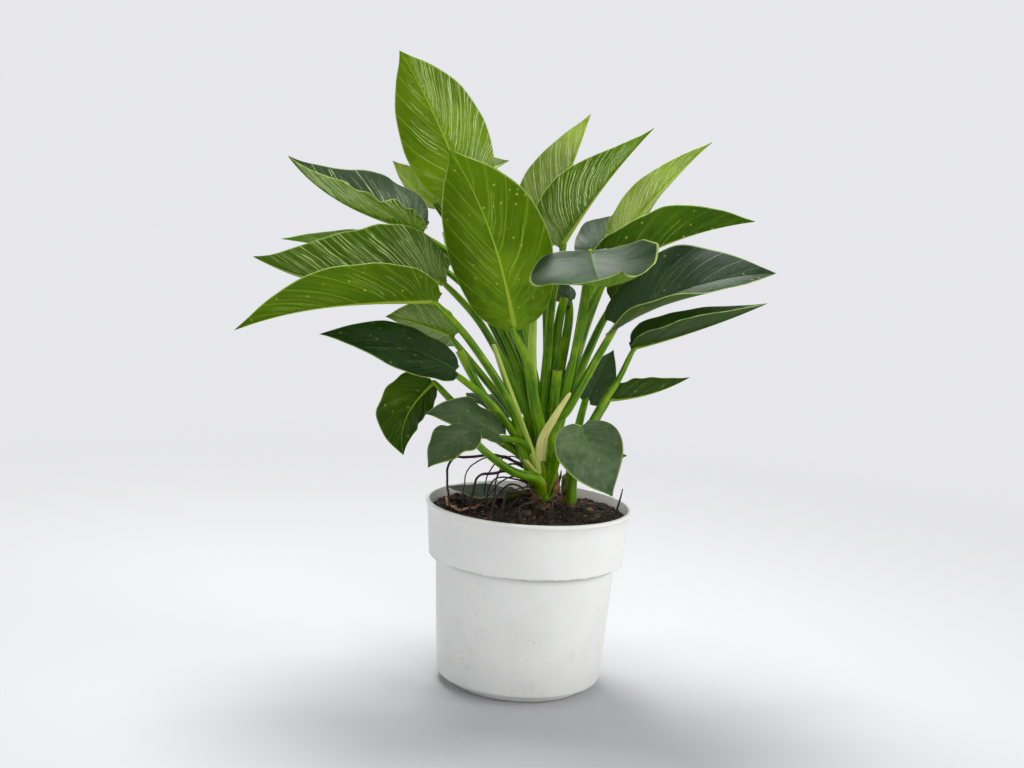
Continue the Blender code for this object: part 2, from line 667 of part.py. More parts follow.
def cut_with(target, cutters):
    """Takes the cutters' shapes out of the target, then removes them."""
    for cutter in cutters:
        modifier = target.modifiers.new("cut", "BOOLEAN")
        modifier.operation = "DIFFERENCE"
        modifier.object = cutter
        bpy.context.view_layer.objects.active = target
        bpy.ops.object.modifier_apply(modifier=modifier.name)
    for cutter in cutters:
        bpy.data.objects.remove(cutter, do_unlink=True)


def crown_path(crown, spare=0.0):
    foot = Vector(crown["foot"])
    top = Vector(crown["top"])
    return smooth_path([foot - Vector((0, 0, spare)), foot.lerp(top, 0.5), top], CROWN_RINGS)


def crown_radii(crown, spare=0.0):
    low, high = crown["radius"]
    return [low + (high - low) * ring / (CROWN_RINGS - 1) + spare for ring in range(CROWN_RINGS)]


def make_soil():
    """A filled body of soil with a lumpy top and a plain hole for the crown."""
    step = POT_HEIGHT - BAND_HEIGHT - STEP_HEIGHT
    band = POT_HEIGHT - BAND_HEIGHT + 1
    foot = FOOT_HEIGHT + 3.5
    foot_radius = FOOT_RADIUS - WALL - 1 - GAP
    wall = [
        (foot_radius, FLOOR + GAP),
        (foot_radius, FOOT_HEIGHT),
        (inner_radius(foot) - SOIL_CLEAR, foot),
        (inner_radius(step - 0.1) - SOIL_CLEAR, step + 1.6),
        (inner_radius(band) - SOIL_CLEAR, band),
    ]
    points = []
    faces = []
    for radius, height in wall:
        for side in range(SOIL_SIDES):
            angle = math.tau * side / SOIL_SIDES
            points.append((radius * math.cos(angle), radius * math.sin(angle), height))
    for ring in range(SOIL_RINGS):
        for side in range(SOIL_SIDES):
            angle = math.tau * side / SOIL_SIDES
            radius = (inner_radius(SOIL_EDGE) - SOIL_CLEAR) * (1 - ring / SOIL_RINGS)
            x = radius * math.cos(angle)
            y = radius * math.sin(angle)
            points.append((x, y, soil_height(x, y)))
    rings = len(wall) + SOIL_RINGS
    for ring in range(rings - 1):
        for side in range(SOIL_SIDES):
            near = ring * SOIL_SIDES
            far = near + SOIL_SIDES
            after = (side + 1) % SOIL_SIDES
            faces.append((near + side, near + after, far + after))
            faces.append((near + side, far + after, far + side))
    faces.append(tuple(reversed(range(SOIL_SIDES))))
    points.append((0, 0, soil_height(0, 0)))
    centre = len(points) - 1
    last = (rings - 1) * SOIL_SIDES
    for side in range(SOIL_SIDES):
        faces.append((last + side, last + (side + 1) % SOIL_SIDES, centre))
    mesh = mesh_from("soil", points, faces)
    outward(mesh)
    soil = solid("soil", mesh, plain_material("soil_brown", SOIL_BROWN, 0.95))
    cutters = []
    for crown in CROWNS.values():
        mesh = tube_mesh("hole", crown_path(crown, GAP), crown_radii(crown, GAP), HOLE_SIDES)
        cutters.append(body("hole", mesh))
    cut_with(soil, cutters)


def stalk_end(blade, surface, way):
    """The furthest point at which a stalk's end still clears its blade."""
    across = way.orthogonal().normalized()
    for step in range(60):
        end = Vector(blade["base"]) - way * (0.3 + 0.1 * step)
        clear = True
        for back in range(0, 10, 2):
            reach = STALK_END + 0.04 * back
            for turn in range(12):
                spoke = across.copy()
                spoke.rotate(Quaternion(way, math.tau * turn / 12))
                for share in (0.0, 0.5, 1.0):
                    near = surface.find_nearest(end - way * back + spoke * reach * share)
                    clear = clear and near[3] > STALK_CLEAR
        if clear:
            return end
    return end


def stalk_foot(crown, first):
    """Where a stalk starts inside the crown, on the side that its route leaves from."""
    foot = Vector(crown["top"]) - Vector((0, 0, STALK_ROOTED))
    way = Vector((first[0] - foot.x, first[1] - foot.y, 0))
    return foot + way * min(1, STALK_SPREAD / max(way.length, 0.1))


def stalk_body(name, blade, crown):
    """The leaf stalk from inside the crown to just short of the blade."""
    thick = crown["radius"][1] / CROWNS["main"]["radius"][1]
    mesh = bpy.data.objects[name].data
    points = [vertex.co / MM for vertex in mesh.vertices]
    surface = BVHTree.FromPolygons(points, [face.vertices[:] for face in mesh.polygons])
    way = (Vector(blade["base"]) - Vector(blade["stalk"][-1])).normalized()
    end = stalk_end(blade, surface, way)
    path = smooth_path([stalk_foot(crown, blade["stalk"][0]), *blade["stalk"], end], STALK_RINGS)
    radii = []
    for ring in range(STALK_RINGS):
        share = ring / (STALK_RINGS - 1)
        radius = STALK_FOOT + (STALK_TOP - STALK_FOOT) * share
        radii.append(radius * (0.5 + 0.5 * thick) * (1 + (blade.get("thick", 1) - 1) * (1 - share)))
    radii[-1] = STALK_END
    return body(name + "_stalk", tube_mesh(name + "_stalk", path, radii, STALK_SIDES, STALK_FLATTEN))


def stub_body(name, crown, route, radii, flat):
    """A rolled new leaf, a dry sheath or a cut stalk, rooted in the crown."""
    path = smooth_path([stalk_foot(crown, route[0]), *route], STUB_RINGS)
    along = []
    for ring in range(STUB_RINGS):
        place = (len(radii) - 1) * ring / (STUB_RINGS - 1)
        before = min(int(place), len(radii) - 2)
        along.append(radii[before] + (radii[before + 1] - radii[before]) * (place - before))
    return body(name, tube_mesh(name, path, along, STALK_SIDES, flat))


def make_roots():
    crown = CROWNS["main"]
    low, high = (Vector(crown[end]) for end in ("foot", "top"))
    for name, ((angle, height), route) in ROOTS.items():
        share = (height - low.z) / (high.z - low.z)
        reach = crown["radius"][0] + (crown["radius"][1] - crown["radius"][0]) * share + ROOT_SEAT
        turn = math.radians(angle)
        start = low.lerp(high, share) + Vector((math.cos(turn), math.sin(turn), 0)) * reach
        x, y, _ = route[-1]
        route = [start, *route[:-1], (x, y, soil_height(x, y) + ROOT_CLEAR)]
        path = smooth_path(route, 12)
        mesh = tube_mesh(name, path, [ROOT_RADIUS] * 12, 6)
        outward(mesh)
        solid(name, mesh, plain_material("root_brown", ROOT_BROWN, 0.8))


def make_twig():
    path = smooth_path(TWIG, 5)
    mesh = tube_mesh("twig", path, [TWIG_RADIUS] * 5, 6)
    outward(mesh)
    solid("twig", mesh, plain_material("twig_brown", DRY_BROWN, 0.8))


def make_dry_leaf():
    """A curled dry strip that lies on the soil."""
    path = smooth_path([(x, y, 0) for x, y in DRY_LEAF], 12)
    points = []
    for index, centre in enumerate(path):
        along = path[min(index + 1, 11)] - path[max(index - 1, 0)]
        side = Vector((-along.y, along.x, 0)).normalized()
        half = DRY_WIDTH / 2 * math.sin(math.pi * (index + 0.6) / 12.2)
        lift = max(soil_height(*(centre + side * place).xy) for place in (-half, 0, half))
        base = centre + Vector((0, 0, lift + GAP + 0.5 + 1.5 * math.sin(index * 1.3) ** 2))
        for place, height in ((-half, 0.8), (0, 0), (half, 0.8)):
            points.append(base + side * place + Vector((0, 0, height)))
        for place, height in ((half, 0.8), (0, 0), (-half, 0.8)):
            points.append(base + side * place + Vector((0, 0, height + DRY_THICK)))
    faces = []
    for ring in range(11):
        for corner in range(6):
            near = ring * 6
            after = (corner + 1) % 6
            faces.append((near + corner, near + after, near + 6 + after))
            faces.append((near + corner, near + 6 + after, near + 6 + corner))
    faces.append((5, 4, 1, 0))
    faces.append((4, 3, 2, 1))
    last = 66
    faces.append((last, last + 1, last + 4, last + 5))
    faces.append((last + 1, last + 2, last + 3, last + 4))
    mesh = mesh_from("dry_leaf", points, faces)
    outward(mesh)
    solid("dry_leaf", mesh, plain_material("dry_brown", DRY_BROWN, 0.8))


def make_shoots():
    for crown_name, crown in CROWNS.items():
        mesh = tube_mesh("crown", crown_path(crown), crown_radii(crown), HOLE_SIDES)
        bodies = [body("crown", mesh)]
        for name, blade in BLADES.items():
            if blade.get("crown", "main") == crown_name:
                bodies.append(stalk_body(name, blade, crown))
        if crown_name == "main":
            bodies += [stub_body(name, crown, **stub) for name, stub in STUBS.items()]
        stems = join_bodies("stems_" + crown_name, bodies, plain_material("stalk_green", STALK_GREEN, 0.4))
        stems.data.shade_smooth()
        stems.data.set_sharp_from_angle(angle=math.radians(50))


def make_blades():
    for name, blade in BLADES.items():
        material = plain_material(name + "_green", blade["tone"], 0.4)
        solid(name, blade_mesh(name, BladeShape(**blade)), material)


def main():
    clear_scene()
    make_pot()
    make_soil()
    make_blades()
    make_shoots()
    make_roots()
    make_twig()
    make_dry_leaf()


main()
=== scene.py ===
# Philodendron birkin in a round white nursery pot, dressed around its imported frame.
# The tables of the pieces are in millimetres, those of light and camera in metres, +Z is up.
import math
import random

import bpy
from mathutils import Matrix, Vector, noise


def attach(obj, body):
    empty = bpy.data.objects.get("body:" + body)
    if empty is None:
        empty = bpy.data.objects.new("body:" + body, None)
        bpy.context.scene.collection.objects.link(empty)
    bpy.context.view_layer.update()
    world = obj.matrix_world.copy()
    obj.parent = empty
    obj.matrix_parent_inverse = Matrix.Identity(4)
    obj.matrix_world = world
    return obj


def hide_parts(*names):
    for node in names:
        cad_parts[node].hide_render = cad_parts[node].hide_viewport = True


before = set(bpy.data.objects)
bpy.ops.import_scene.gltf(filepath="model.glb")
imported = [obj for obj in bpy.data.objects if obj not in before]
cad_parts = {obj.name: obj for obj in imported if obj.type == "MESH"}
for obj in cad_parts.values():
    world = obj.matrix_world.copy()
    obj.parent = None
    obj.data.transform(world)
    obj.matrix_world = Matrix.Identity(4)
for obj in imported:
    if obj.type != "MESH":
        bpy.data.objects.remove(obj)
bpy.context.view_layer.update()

mm = 0.001
print("frame loaded:", len(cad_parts), "nodes")

# leaves, with the same places, arches and folds as the solids
blades = {
    "leaf_top": dict(
        base=(-64, 5, 396), tip=(-121, -55, 507), face=(0.00, 0.90, 0.42), width=78,
        bow=(10, 0, 12, 0), fold=(34, 8), curl=(8, 8), wave=(1.5, 2.0, 0.0), heart=0.5,
        stalk=((4, 2, 200), (-8, 6, 260), (-30, 8, 330)),
    ),
    "leaf_front": dict(
        base=(-20, -45, 298), tip=(-75, -115, 435), face=(0.10, 0.90, 0.40), width=80,
        bow=(10, -4, 12, -4), fold=(22, 10), curl=(10, 10), wave=(1.0, 1.5, 1.0), heart=0.5,
        stalk=((7, -22, 207), (-1, -32, 241), (-9, -40, 274)), thick=1.3, slim=-0.32,
    ),
    "leaf_top_behind": dict(
        base=(-94, 84, 405), tip=(-36, 90, 429), face=(-0.2, -0.6, 0.8), width=46,
        fold=(20, 20), curl=(0, 0), wave=(1.0, 2.0, 0.5),
        stalk=((2, 12, 210), (-26, 40, 290), (-70, 72, 366)),
    ),
    "leaf_left_upper": dict(
        base=(-101, 25, 367), tip=(-216, 25, 422), face=(0.30, 0.10, 0.90), width=86,
        bow=(-8, 0, -12, 0), fold=(24, 62), curl=(-6, -10), wave=(2.0, 2.0, 0.0), heart=0.6,
        stalk=((0, 6, 215), (-25, 12, 280), (-66, 20, 340)),
    ),
    "leaf_young": dict(
        base=(-91, 56, 387), tip=(-133, 58, 423), face=(0.3, 0.8, 0.4), width=36,
        bow=(-4, 0, -4, 0), fold=(20, 20), curl=(20, 20), wave=(0.5, 2.0, 0.0), heart=0.5,
        stalk=((2, 10, 215), (-22, 26, 290), (-62, 48, 350)),
    ),
    "leaf_left_middle_behind": dict(
        base=(-80, 30, 338), tip=(-220, 34, 353), face=(0.05, -0.1, 0.99), width=74,
        bow=(2, 0, 2, 0), fold=(42, 25), curl=(-10, -10), wave=(1.5, 2.0, 1.0), heart=0.6,
        stalk=((0, 4, 210), (-20, 14, 260), (-52, 26, 312)),
    ),
    "leaf_left_long": dict(
        base=(-78, -12, 330), tip=(-230, -36, 342), face=(0.10, 0.60, 0.80), width=104,
        bow=(-12, 0, -14, 0), fold=(42, 26), curl=(6, 0), wave=(2.0, 1.5, 0.0), heart=0.6,
        stalk=((3, -8, 205), (-18, -10, 250), (-48, -10, 298)),
    ),
    "leaf_left_front": dict(
        base=(-81, -58, 318), tip=(-232, -90, 289), face=(-0.15, 0.10, 0.97), width=72,
        bow=(5, 0, 9, 0), fold=(50, 26), curl=(0, 0), twist=-25, wave=(1.0, 2.0, 0.0),
        heart=0.6, stalk=((-9, -24, 206), (-20, -34, 239), (-54, -50, 288)),
    ),
    "leaf_left_hidden": dict(
        base=(-70, 6, 284), tip=(-128, 14, 296), face=(0.30, 0.60, 0.70), width=58,
        bow=(2, 0, 4, 0), fold=(10, 10), curl=(0, 0), wave=(1.0, 2.0, 0.0), heart=0.8,
        stalk=((3, -6, 200), (-20, -4, 228), (-50, 2, 260)),
    ),
    "leaf_left_dark": dict(
        base=(-64, -50, 264), tip=(-170, -70, 288), face=(0.10, -0.45, 0.88), width=56,
        bow=(9, 0, 8, 0), fold=(4, 14), curl=(-20, -20), wave=(1.5, 1.5, 0.6), heart=0.6,
        stalk=((-6, -18, 195), (-19, -30, 219), (-40, -42, 243)),
    ),
    "leaf_left_drooping": dict(
        base=(-83, -20, 249), tip=(-103, -30, 190), face=(-0.70, 0.70, 0.10), width=46,
        bow=(5, -5, 6, -9), fold=(20, 10), curl=(10, 10), wave=(1.5, 2.0, 0.0), heart=0.5,
        stalk=((-6, -8, 190), (-30, -12, 206), (-62, -16, 230)), slim=-0.5,
    ),
    "leaf_small_twisted": dict(
        base=(-28, -36, 213), tip=(-86, -56, 229), face=(0.05, -0.45, 0.88), width=38,
        bow=(4, 3, 6, 3), fold=(10, 15), curl=(-20, -10), twist=25, wave=(2.5, 2.0, 0.0),
        stalk=((10, -20, 184), (2, -26, 198), (-10, -31, 208)),
    ),
    "leaf_small_heart": dict(
        base=(-50, -82, 222), tip=(-78, -105, 196), face=(-0.35, -0.65, 0.65), width=40,
        bow=(3, 0, 3, 0), fold=(8, 8), curl=(-10, -10), wave=(2.5, 2.0, 2.0),
        stalk=((6, -30, 178), (-14, -56, 188), (-36, -76, 206)),
    ),
    "leaf_on_soil": dict(
        base=(-19, 5, 157), tip=(-70, 25, 155), face=(0.0, -0.1, 1.0), width=38,
        fold=(5, 5), curl=(-10, -10), wave=(1.0, 2.0, 0.0),
        stalk=((2, -4, 160), (-6, -2, 160)),
    ),
    "leaf_right_heart": dict(
        base=(37, -60, 228), tip=(64, -85, 179), face=(0.10, -0.90, 0.38), width=54,
        bow=(4, 2, 4, 2), fold=(8, 8), curl=(-10, -10), wave=(1.5, 2.0, 0.0), heart=0.8,
        stalk=((18, -24, 190), (22, -38, 210), (28, -50, 224)),
    ),
    "leaf_right_tiny": dict(
        base=(56, -14, 194), tip=(77, -20, 200), face=(0.0, -0.5, 0.85), width=16,
        fold=(10, 10), wave=(0.5, 2.0, 0.0),
        stalk=((36, 0, 178), (46, -8, 187)), crown="side",
    ),
    "leaf_right_back_pale": dict(
        base=(-5, 30, 357), tip=(30, 60, 472), face=(-0.62, 0.70, 0.20), width=70,
        bow=(-2, 2, -4, 4), fold=(42, 42), curl=(5, 5), wave=(1.0, 2.0, 0.0), heart=0.5,
        stalk=((9, 8, 210), (8, 14, 270), (3, 22, 320)),
    ),
    "leaf_right_striped": dict(
        base=(12, 0, 362), tip=(81, 15, 463), face=(-0.56, 0.70, 0.43), width=92,
        bow=(4, 0, 5, 0), fold=(45, 45), curl=(-4, -4), wave=(1.5, 2.0, 0.0), heart=0.5,
        stalk=((6, -4, 220), (7, -2, 270), (8, 0, 320)), twist=-30, slim=0.6,
    ),
    "leaf_right_pale": dict(
        base=(59, 46, 364), tip=(135, 75, 456), face=(-0.30, 0.72, 0.60), width=48,
        bow=(6, 0, 7, 0), fold=(22, 24), curl=(0, 0), wave=(1.0, 2.0, 1.0), heart=0.8,
        stalk=((14, 10, 210), (30, 27, 270), (46, 41, 324)), twist=-15, slim=0.2,
    ),
    "leaf_right_upper": dict(
        base=(50, 2, 344), tip=(169, 20, 393), face=(-0.20, 0.20, 0.95), width=76,
        bow=(6, 0, 7, 0), fold=(20, 46), curl=(-6, -6), wave=(1.5, 2.0, 0.0), heart=1.0,
        stalk=((16, 0, 210), (26, 0, 260), (36, 0, 308)),
    ),
    "leaf_front_curled": dict(
        base=(35, -42, 364), tip=(56, -150, 357), face=(0.10, -0.15, 0.98), width=106,
        bow=(-13, 0, -18, 0), fold=(14, -4), curl=(46, -10), wave=(3.0, 1.5, 0.0), heart=0.5,
        stalk=((19, -16, 214), (27, -27, 262), (33, -36, 322)),
    ),
    "leaf_right_dark": dict(
        base=(58, -40, 308), tip=(178, -60, 357), face=(-0.30, -0.60, 0.74), width=76,
        bow=(10, 0, 12, 0), fold=(14, 10), curl=(-10, 58), wave=(5.0, 1.0, -1.2), heart=0.8,
        stalk=((17, -20, 219), (27, -25, 237), (46, -35, 279)), slim=-0.3,
    ),
    "leaf_right_folded": dict(
        base=(74, -10, 286), tip=(182, 0, 329), face=(-0.35, 0.10, 0.93), width=64,
        bow=(-2, 0, -2, 0), fold=(42, 24), curl=(0, 0), wave=(1.0, 2.0, 0.0), heart=0.5,
        stalk=((34, 2, 186), (49, -8, 229), (65, -10, 259)), crown="side", slim=0.25,
    ),
    "leaf_right_rolled": dict(
        base=(58, 10, 240), tip=(126, 20, 262), face=(-0.30, 0.50, 0.80), width=30,
        bow=(-4, 0, -4, 0), fold=(40, 45), curl=(20, 20), wave=(0.5, 2.0, 0.0), heart=0.7,
        stalk=((36, 8, 186), (48, 10, 216)), crown="side",
    ),
    "leaf_right_small_behind": dict(
        base=(44, 42, 236), tip=(63, 50, 277), face=(0.50, -0.60, 0.30), width=34,
        fold=(12, 12), wave=(1.0, 2.0, 0.0),
        stalk=((34, 16, 190), (38, 32, 216)), crown="side",
    ),
    "leaf_right_inner": dict(
        base=(57, 10, 322), tip=(90, -4, 348), face=(-0.40, 0.50, 0.70), width=34,
        fold=(30, 30), curl=(0, 0), wave=(1.0, 2.0, 0.0), heart=0.5,
        stalk=((18, -2, 210), (32, 4, 255), (47, 8, 297)),
    ),
    "leaf_middle_pale": dict(
        base=(24, 50, 316), tip=(-4, 53, 332), face=(0.20, -0.5, 0.80), width=30,
        fold=(10, 10), curl=(0, 0), wave=(1.0, 2.0, 0.0), heart=0.8,
        stalk=((12, 8, 210), (18, 24, 256), (23, 40, 296)),
    ),
    "leaf_back_left": dict(
        base=(-36, 88, 322), tip=(-90, 175, 360), face=(0.30, -0.40, 0.85), width=84,
        bow=(8, 0, 6, 0), fold=(18, 18), curl=(-10, -10), wave=(2.0, 2.0, 0.0), heart=0.8,
        stalk=((0, 14, 200), (-10, 40, 250), (-26, 70, 296)),
    ),
    "leaf_back_right": dict(
        base=(45, 105, 346), tip=(66, 160, 387), face=(-0.30, -0.70, 0.60), width=50,
        bow=(8, 0, 4, 0), fold=(20, 20), curl=(-10, -10), wave=(2.0, 2.0, 1.0), heart=0.8,
        stalk=((16, 18, 200), (28, 54, 250), (42, 90, 306)),
    ),
    "leaf_back_high": dict(
        base=(-20, 72, 352), tip=(-36, 150, 404), face=(0.10, -0.60, 0.75), width=80,
        bow=(8, 0, 6, 0), fold=(16, 16), curl=(0, 0), wave=(1.5, 2.0, 2.0), heart=0.7,
        stalk=((8, 14, 210), (-8, 36, 270), (-18, 58, 322)),
    ),
    "leaf_back_low": dict(
        base=(-16, 70, 214), tip=(-52, 138, 212), face=(0.05, -0.30, 0.95), width=66,
        bow=(10, 0, 8, 0), fold=(14, 14), curl=(-15, -15), wave=(2.0, 2.0, 0.0), heart=0.9,
        stalk=((4, 10, 184), (-2, 34, 196), (-9, 56, 208)),
    ),
}

# each leaf's finish, the ruffle along its margin (height, count),
# and the half that has most of it, where one does
looks = {
    "leaf_top": ("oneSided", 0.3, 9),
    "leaf_front": ("bright", 0.3, 7),
    "leaf_top_behind": ("pale", 0.5, 6),
    "leaf_left_upper": ("lined", 3.4, 9, 0),
    "leaf_young": ("pale", 0.3, 6),
    "leaf_left_middle_behind": ("striped", 0.6, 9),
    "leaf_left_long": ("striped", 0.8, 9),
    "leaf_left_front": ("bright", 0.5, 8),
    "leaf_left_hidden": ("striped", 0.5, 8),
    "leaf_left_dark": ("dark", 0.6, 7),
    "leaf_left_drooping": ("deep", 0.8, 7),
    "leaf_small_twisted": ("grey", 1.2, 6),
    "leaf_small_heart": ("grey", 0.7, 6),
    "leaf_on_soil": ("dark", 0.3, 5),
    "leaf_right_heart": ("grey", 0.4, 6),
    "leaf_right_tiny": ("bright", 0.1, 4),
    "leaf_right_back_pale": ("pale", 0.4, 8),
    "leaf_right_striped": ("striped", 0.5, 8),
    "leaf_right_pale": ("pale", 0.4, 8),
    "leaf_right_upper": ("deep", 0.5, 8),
    "leaf_front_curled": ("edged", 1.6, 5),
    "leaf_right_dark": ("dark", 1.2, 6),
    "leaf_right_folded": ("dark", 0.5, 7),
    "leaf_right_rolled": ("dark", 0.8, 7),
    "leaf_right_small_behind": ("dark", 0.5, 6),
    "leaf_right_inner": ("deep", 0.3, 6),
    "leaf_middle_pale": ("dark", 0.3, 6),
    "leaf_back_left": ("dark", 0.6, 8),
    "leaf_back_right": ("dark", 0.5, 8),
    "leaf_back_high": ("striped", 0.5, 8),
    "leaf_back_low": ("dark", 0.6, 8),
}

bladeForm = {
    "outline": (
        (-0.10, 0.09), (-0.05, 0.21), (0.10, 0.305), (0.32, 0.335),
        (0.57, 0.275), (0.78, 0.155), (0.92, 0.050), (1.00, 0.0),
    ),
    "veinStarts": (0.0, 0.005, 0.02, 0.075, 0.21, 0.44, 0.72, 1.0),
    "veinLean": 0.30,       # how far a side vein bends towards the tip
    "veinBend": 0.55,
    "outlineWidth": 0.67,
    "heartEnd": 0.12,
    "heartLobe": 0.1,       # half width over which the heart's lobes are drawn back
    "shoulder": 0.35,
    "shoulderEnd": 0.35,
    "rows": 84,
    "halfColumns": 14,
    "crowding": 1.7,        # columns stand closer together near the midrib
    "thick": 0.55,
    "fullWide": 18.0,       # half width from which the blade has its full thickness
    "tipThin": 0.10,
    "ribWide": 2.3,         # half width of the midrib's ridge at the stalk
    "ribNarrow": 0.35,
    "ribHigh": 1.9,
    "ribAbove": 0.18,       # share of the ridge that is taken off the upper side
    "ribShare": 0.45,       # the ridge's widest share of the half blade
    "sideVeins": 11,
    "sideVeinRise": 0.16,
    "sidePhase": 1.7,       # the two margins don't wave together
    "ruffleFade": 4,        # how fast the ruffle dies away towards the tip
    "ruffleMiddle": 0.3,    # where a ruffle on one half is highest, how far it spreads
    "ruffleSpread": 0.24,
    "ruffleRest": 0.1,      # and its share on the other half
}
smallestCurl = 0.01         # below this a half blade is taken as straight across


def deselectAll():
    for item in bpy.context.selected_objects:
        item.select_set(False)
    bpy.context.view_layer.objects.active = None


def pick(piece):
    deselectAll()
    piece.select_set(True)
    bpy.context.view_layer.objects.active = piece


def smoothPath(points, count):
    knots = [Vector(point) for point in points]
    knots = [knots[0] * 2 - knots[1]] + knots + [knots[-1] * 2 - knots[-2]]
    spans = len(knots) - 3
    path = []
    for step in range(count):
        place = spans * step / (count - 1)
        span = min(int(place), spans - 1)
        t = place - span
        a, b, c, d = knots[span:span + 4]
        path.append(
            0.5 * ((2 * b) + (c - a) * t + (2 * a - 5 * b + 4 * c - d) * t * t
                   + (3 * b - a - 3 * c + d) * t * t * t)
        )
    return path


def flatGrid(name, along, across):
    # a flat grid whose UV map runs 0 to 1 each way, and each point's shares of the two ways
    deselectAll()
    bpy.ops.mesh.primitive_grid_add(x_subdivisions=along, y_subdivisions=across, size=1)
    piece = bpy.context.object
    piece.name = name
    piece.data.name = name
    return piece, [(vertex.co.x + 0.5, vertex.co.y + 0.5) for vertex in piece.data.vertices]


def shapeGrid(piece, shares, place):
    for vertex, (u, v) in zip(piece.data.vertices, shares):
        vertex.co = place(u, v) * mm


def gridPiece(name, along, across, place, tube=False):
    # a grid with every point at place(u, v); a tube has its seam merged and its ends closed
    piece, shares = flatGrid(name, along, across)
    shapeGrid(piece, shares, place)
    if tube:
        bpy.ops.object.mode_set(mode="EDIT")
        bpy.ops.mesh.select_all(action="SELECT")
        bpy.ops.mesh.remove_doubles(threshold=0.000005)
        bpy.ops.mesh.select_all(action="DESELECT")
        bpy.ops.mesh.select_non_manifold(extend=False, use_multi_face=False, use_non_contiguous=False,
                                         use_verts=False)
        bpy.ops.mesh.fill_holes(sides=0)
        bpy.ops.mesh.select_all(action="SELECT")
        bpy.ops.mesh.normals_make_consistent(inside=False)
        bpy.ops.object.mode_set(mode="OBJECT")
    return piece


def thicken(piece, thick, **settings):
    pick(piece)
    shell = piece.modifiers.new("shell", "SOLIDIFY")
    shell.thickness = thick * mm
    shell.offset = 0
    for name, value in settings.items():
        setattr(shell, name, value)
    bpy.ops.object.modifier_apply(modifier=shell.name)


def dress(piece, *materials):
    for material in materials:
        piece.data.materials.append(material)


def shadeSmooth(piece, degrees):
    pick(piece)
    bpy.ops.object.shade_smooth_by_angle(angle=math.radians(degrees))


def joinPieces(name, pieces):
    deselectAll()
    for piece in pieces:
        piece.select_set(True)
    bpy.context.view_layer.objects.active = pieces[0]
    bpy.ops.object.join()
    joined = bpy.context.object
    joined.name = name
    joined.data.name = name
    return joined


def settle(piece, degrees, slotName, *nodes):
    # smooth up to that angle, on its body, and in place of its nodes if it has any; the slot name is not used
    shadeSmooth(piece, degrees)
    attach(piece, "root")
    if nodes:
        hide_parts(*nodes)


# material helpers
def newMaterial(name):
    material = bpy.data.materials.new(name)
    material.use_nodes = True
    tree = material.node_tree
    tree.nodes.clear()
    out = tree.nodes.new("ShaderNodeOutputMaterial")
    return material, tree, out


def plug(tree, socket, value):
    if isinstance(value, bpy.types.NodeSocket):
        tree.links.new(value, socket)
    elif isinstance(value, tuple) and len(value) == 3 and socket.type == "RGBA":
        socket.default_value = (*value, 1.0)
    else:
        socket.default_value = value


def maths(tree, operation, a, b=0.0, clamp=False):
    node = tree.nodes.new("ShaderNodeMath")
    node.operation = operation
    node.use_clamp = clamp
    plug(tree, node.inputs[0], a)
    plug(tree, node.inputs[1], b)
    return node.outputs[0]


def plus(tree, a, b):
    return maths(tree, "ADD", a, b)


def minus(tree, a, b):
    return maths(tree, "SUBTRACT", a, b)


def times(tree, a, b, clamp=False):
    return maths(tree, "MULTIPLY", a, b, clamp)


def ramp(tree, value, low, high, toLow=0.0, toHigh=1.0):
    node = tree.nodes.new("ShaderNodeMapRange")
    node.interpolation_type = "SMOOTHSTEP"
    plug(tree, node.inputs["Value"], value)
    plug(tree, node.inputs["From Min"], low)
    plug(tree, node.inputs["From Max"], high)
    plug(tree, node.inputs["To Min"], toLow)
    plug(tree, node.inputs["To Max"], toHigh)
    return node.outputs["Result"]


def mixColour(tree, factor, a, b):
    node = tree.nodes.new("ShaderNodeMix")
    node.data_type = "RGBA"
    plug(tree, node.inputs["Factor"], factor)
    plug(tree, node.inputs[6], a)
    plug(tree, node.inputs[7], b)
    return node.outputs[2]


def noiseAt(tree, vector, scale, detail=2.0, rough=0.5):
    node = tree.nodes.new("ShaderNodeTexNoise")
    plug(tree, node.inputs["Vector"], vector)
    plug(tree, node.inputs["Scale"], scale)
    plug(tree, node.inputs["Detail"], detail)
    plug(tree, node.inputs["Roughness"], rough)
    return node.outputs["Fac"]


def drawnNoise(tree, x, y, scales, z, detail, rough):
    # noise drawn out along x or y, z setting one such pattern apart from another
    node = tree.nodes.new("ShaderNodeCombineXYZ")
    for socket, value in zip(node.inputs, (times(tree, x, scales[0]), times(tree, y, scales[1]), z)):
        plug(tree, socket, value)
    return noiseAt(tree, node.outputs[0], 1.0, detail, rough)


def splitPlace(tree, vector):
    node = tree.nodes.new("ShaderNodeSeparateXYZ")
    tree.links.new(vector, node.inputs[0])
    return node.outputs


def uvParts(tree):
    uvMap = tree.nodes.new("ShaderNodeUVMap")
    uvMap.uv_map = "UVMap"
    parts = splitPlace(tree, uvMap.outputs[0])
    return parts[0], parts[1]


def objectPlace(tree):
    return tree.nodes.new("ShaderNodeTexCoord").outputs["Object"]


def cellChances(tree, cells):
    # three random numbers for each cell of a Voronoi texture
    node = tree.nodes.new("ShaderNodeSeparateColor")
    tree.links.new(cells.outputs["Color"], node.inputs[0])
    return node.outputs[0], node.outputs[1], node.outputs[2]


def bumpFrom(tree, height, strength, distance):
    node = tree.nodes.new("ShaderNodeBump")
    node.inputs["Strength"].default_value = strength
    node.inputs["Distance"].default_value = distance
    plug(tree, node.inputs["Height"], height)
    return node.outputs[0]


def principled(tree, colour, roughness, normal=None, **settings):
    shader = tree.nodes.new("ShaderNodeBsdfPrincipled")
    plug(tree, shader.inputs["Base Color"], colour)
    plug(tree, shader.inputs["Roughness"], roughness)
    if normal is not None:
        plug(tree, shader.inputs["Normal"], normal)
    for name, value in settings.items():
        shader.inputs[name.replace("_", " ")].default_value = value
    return shader.outputs[0]


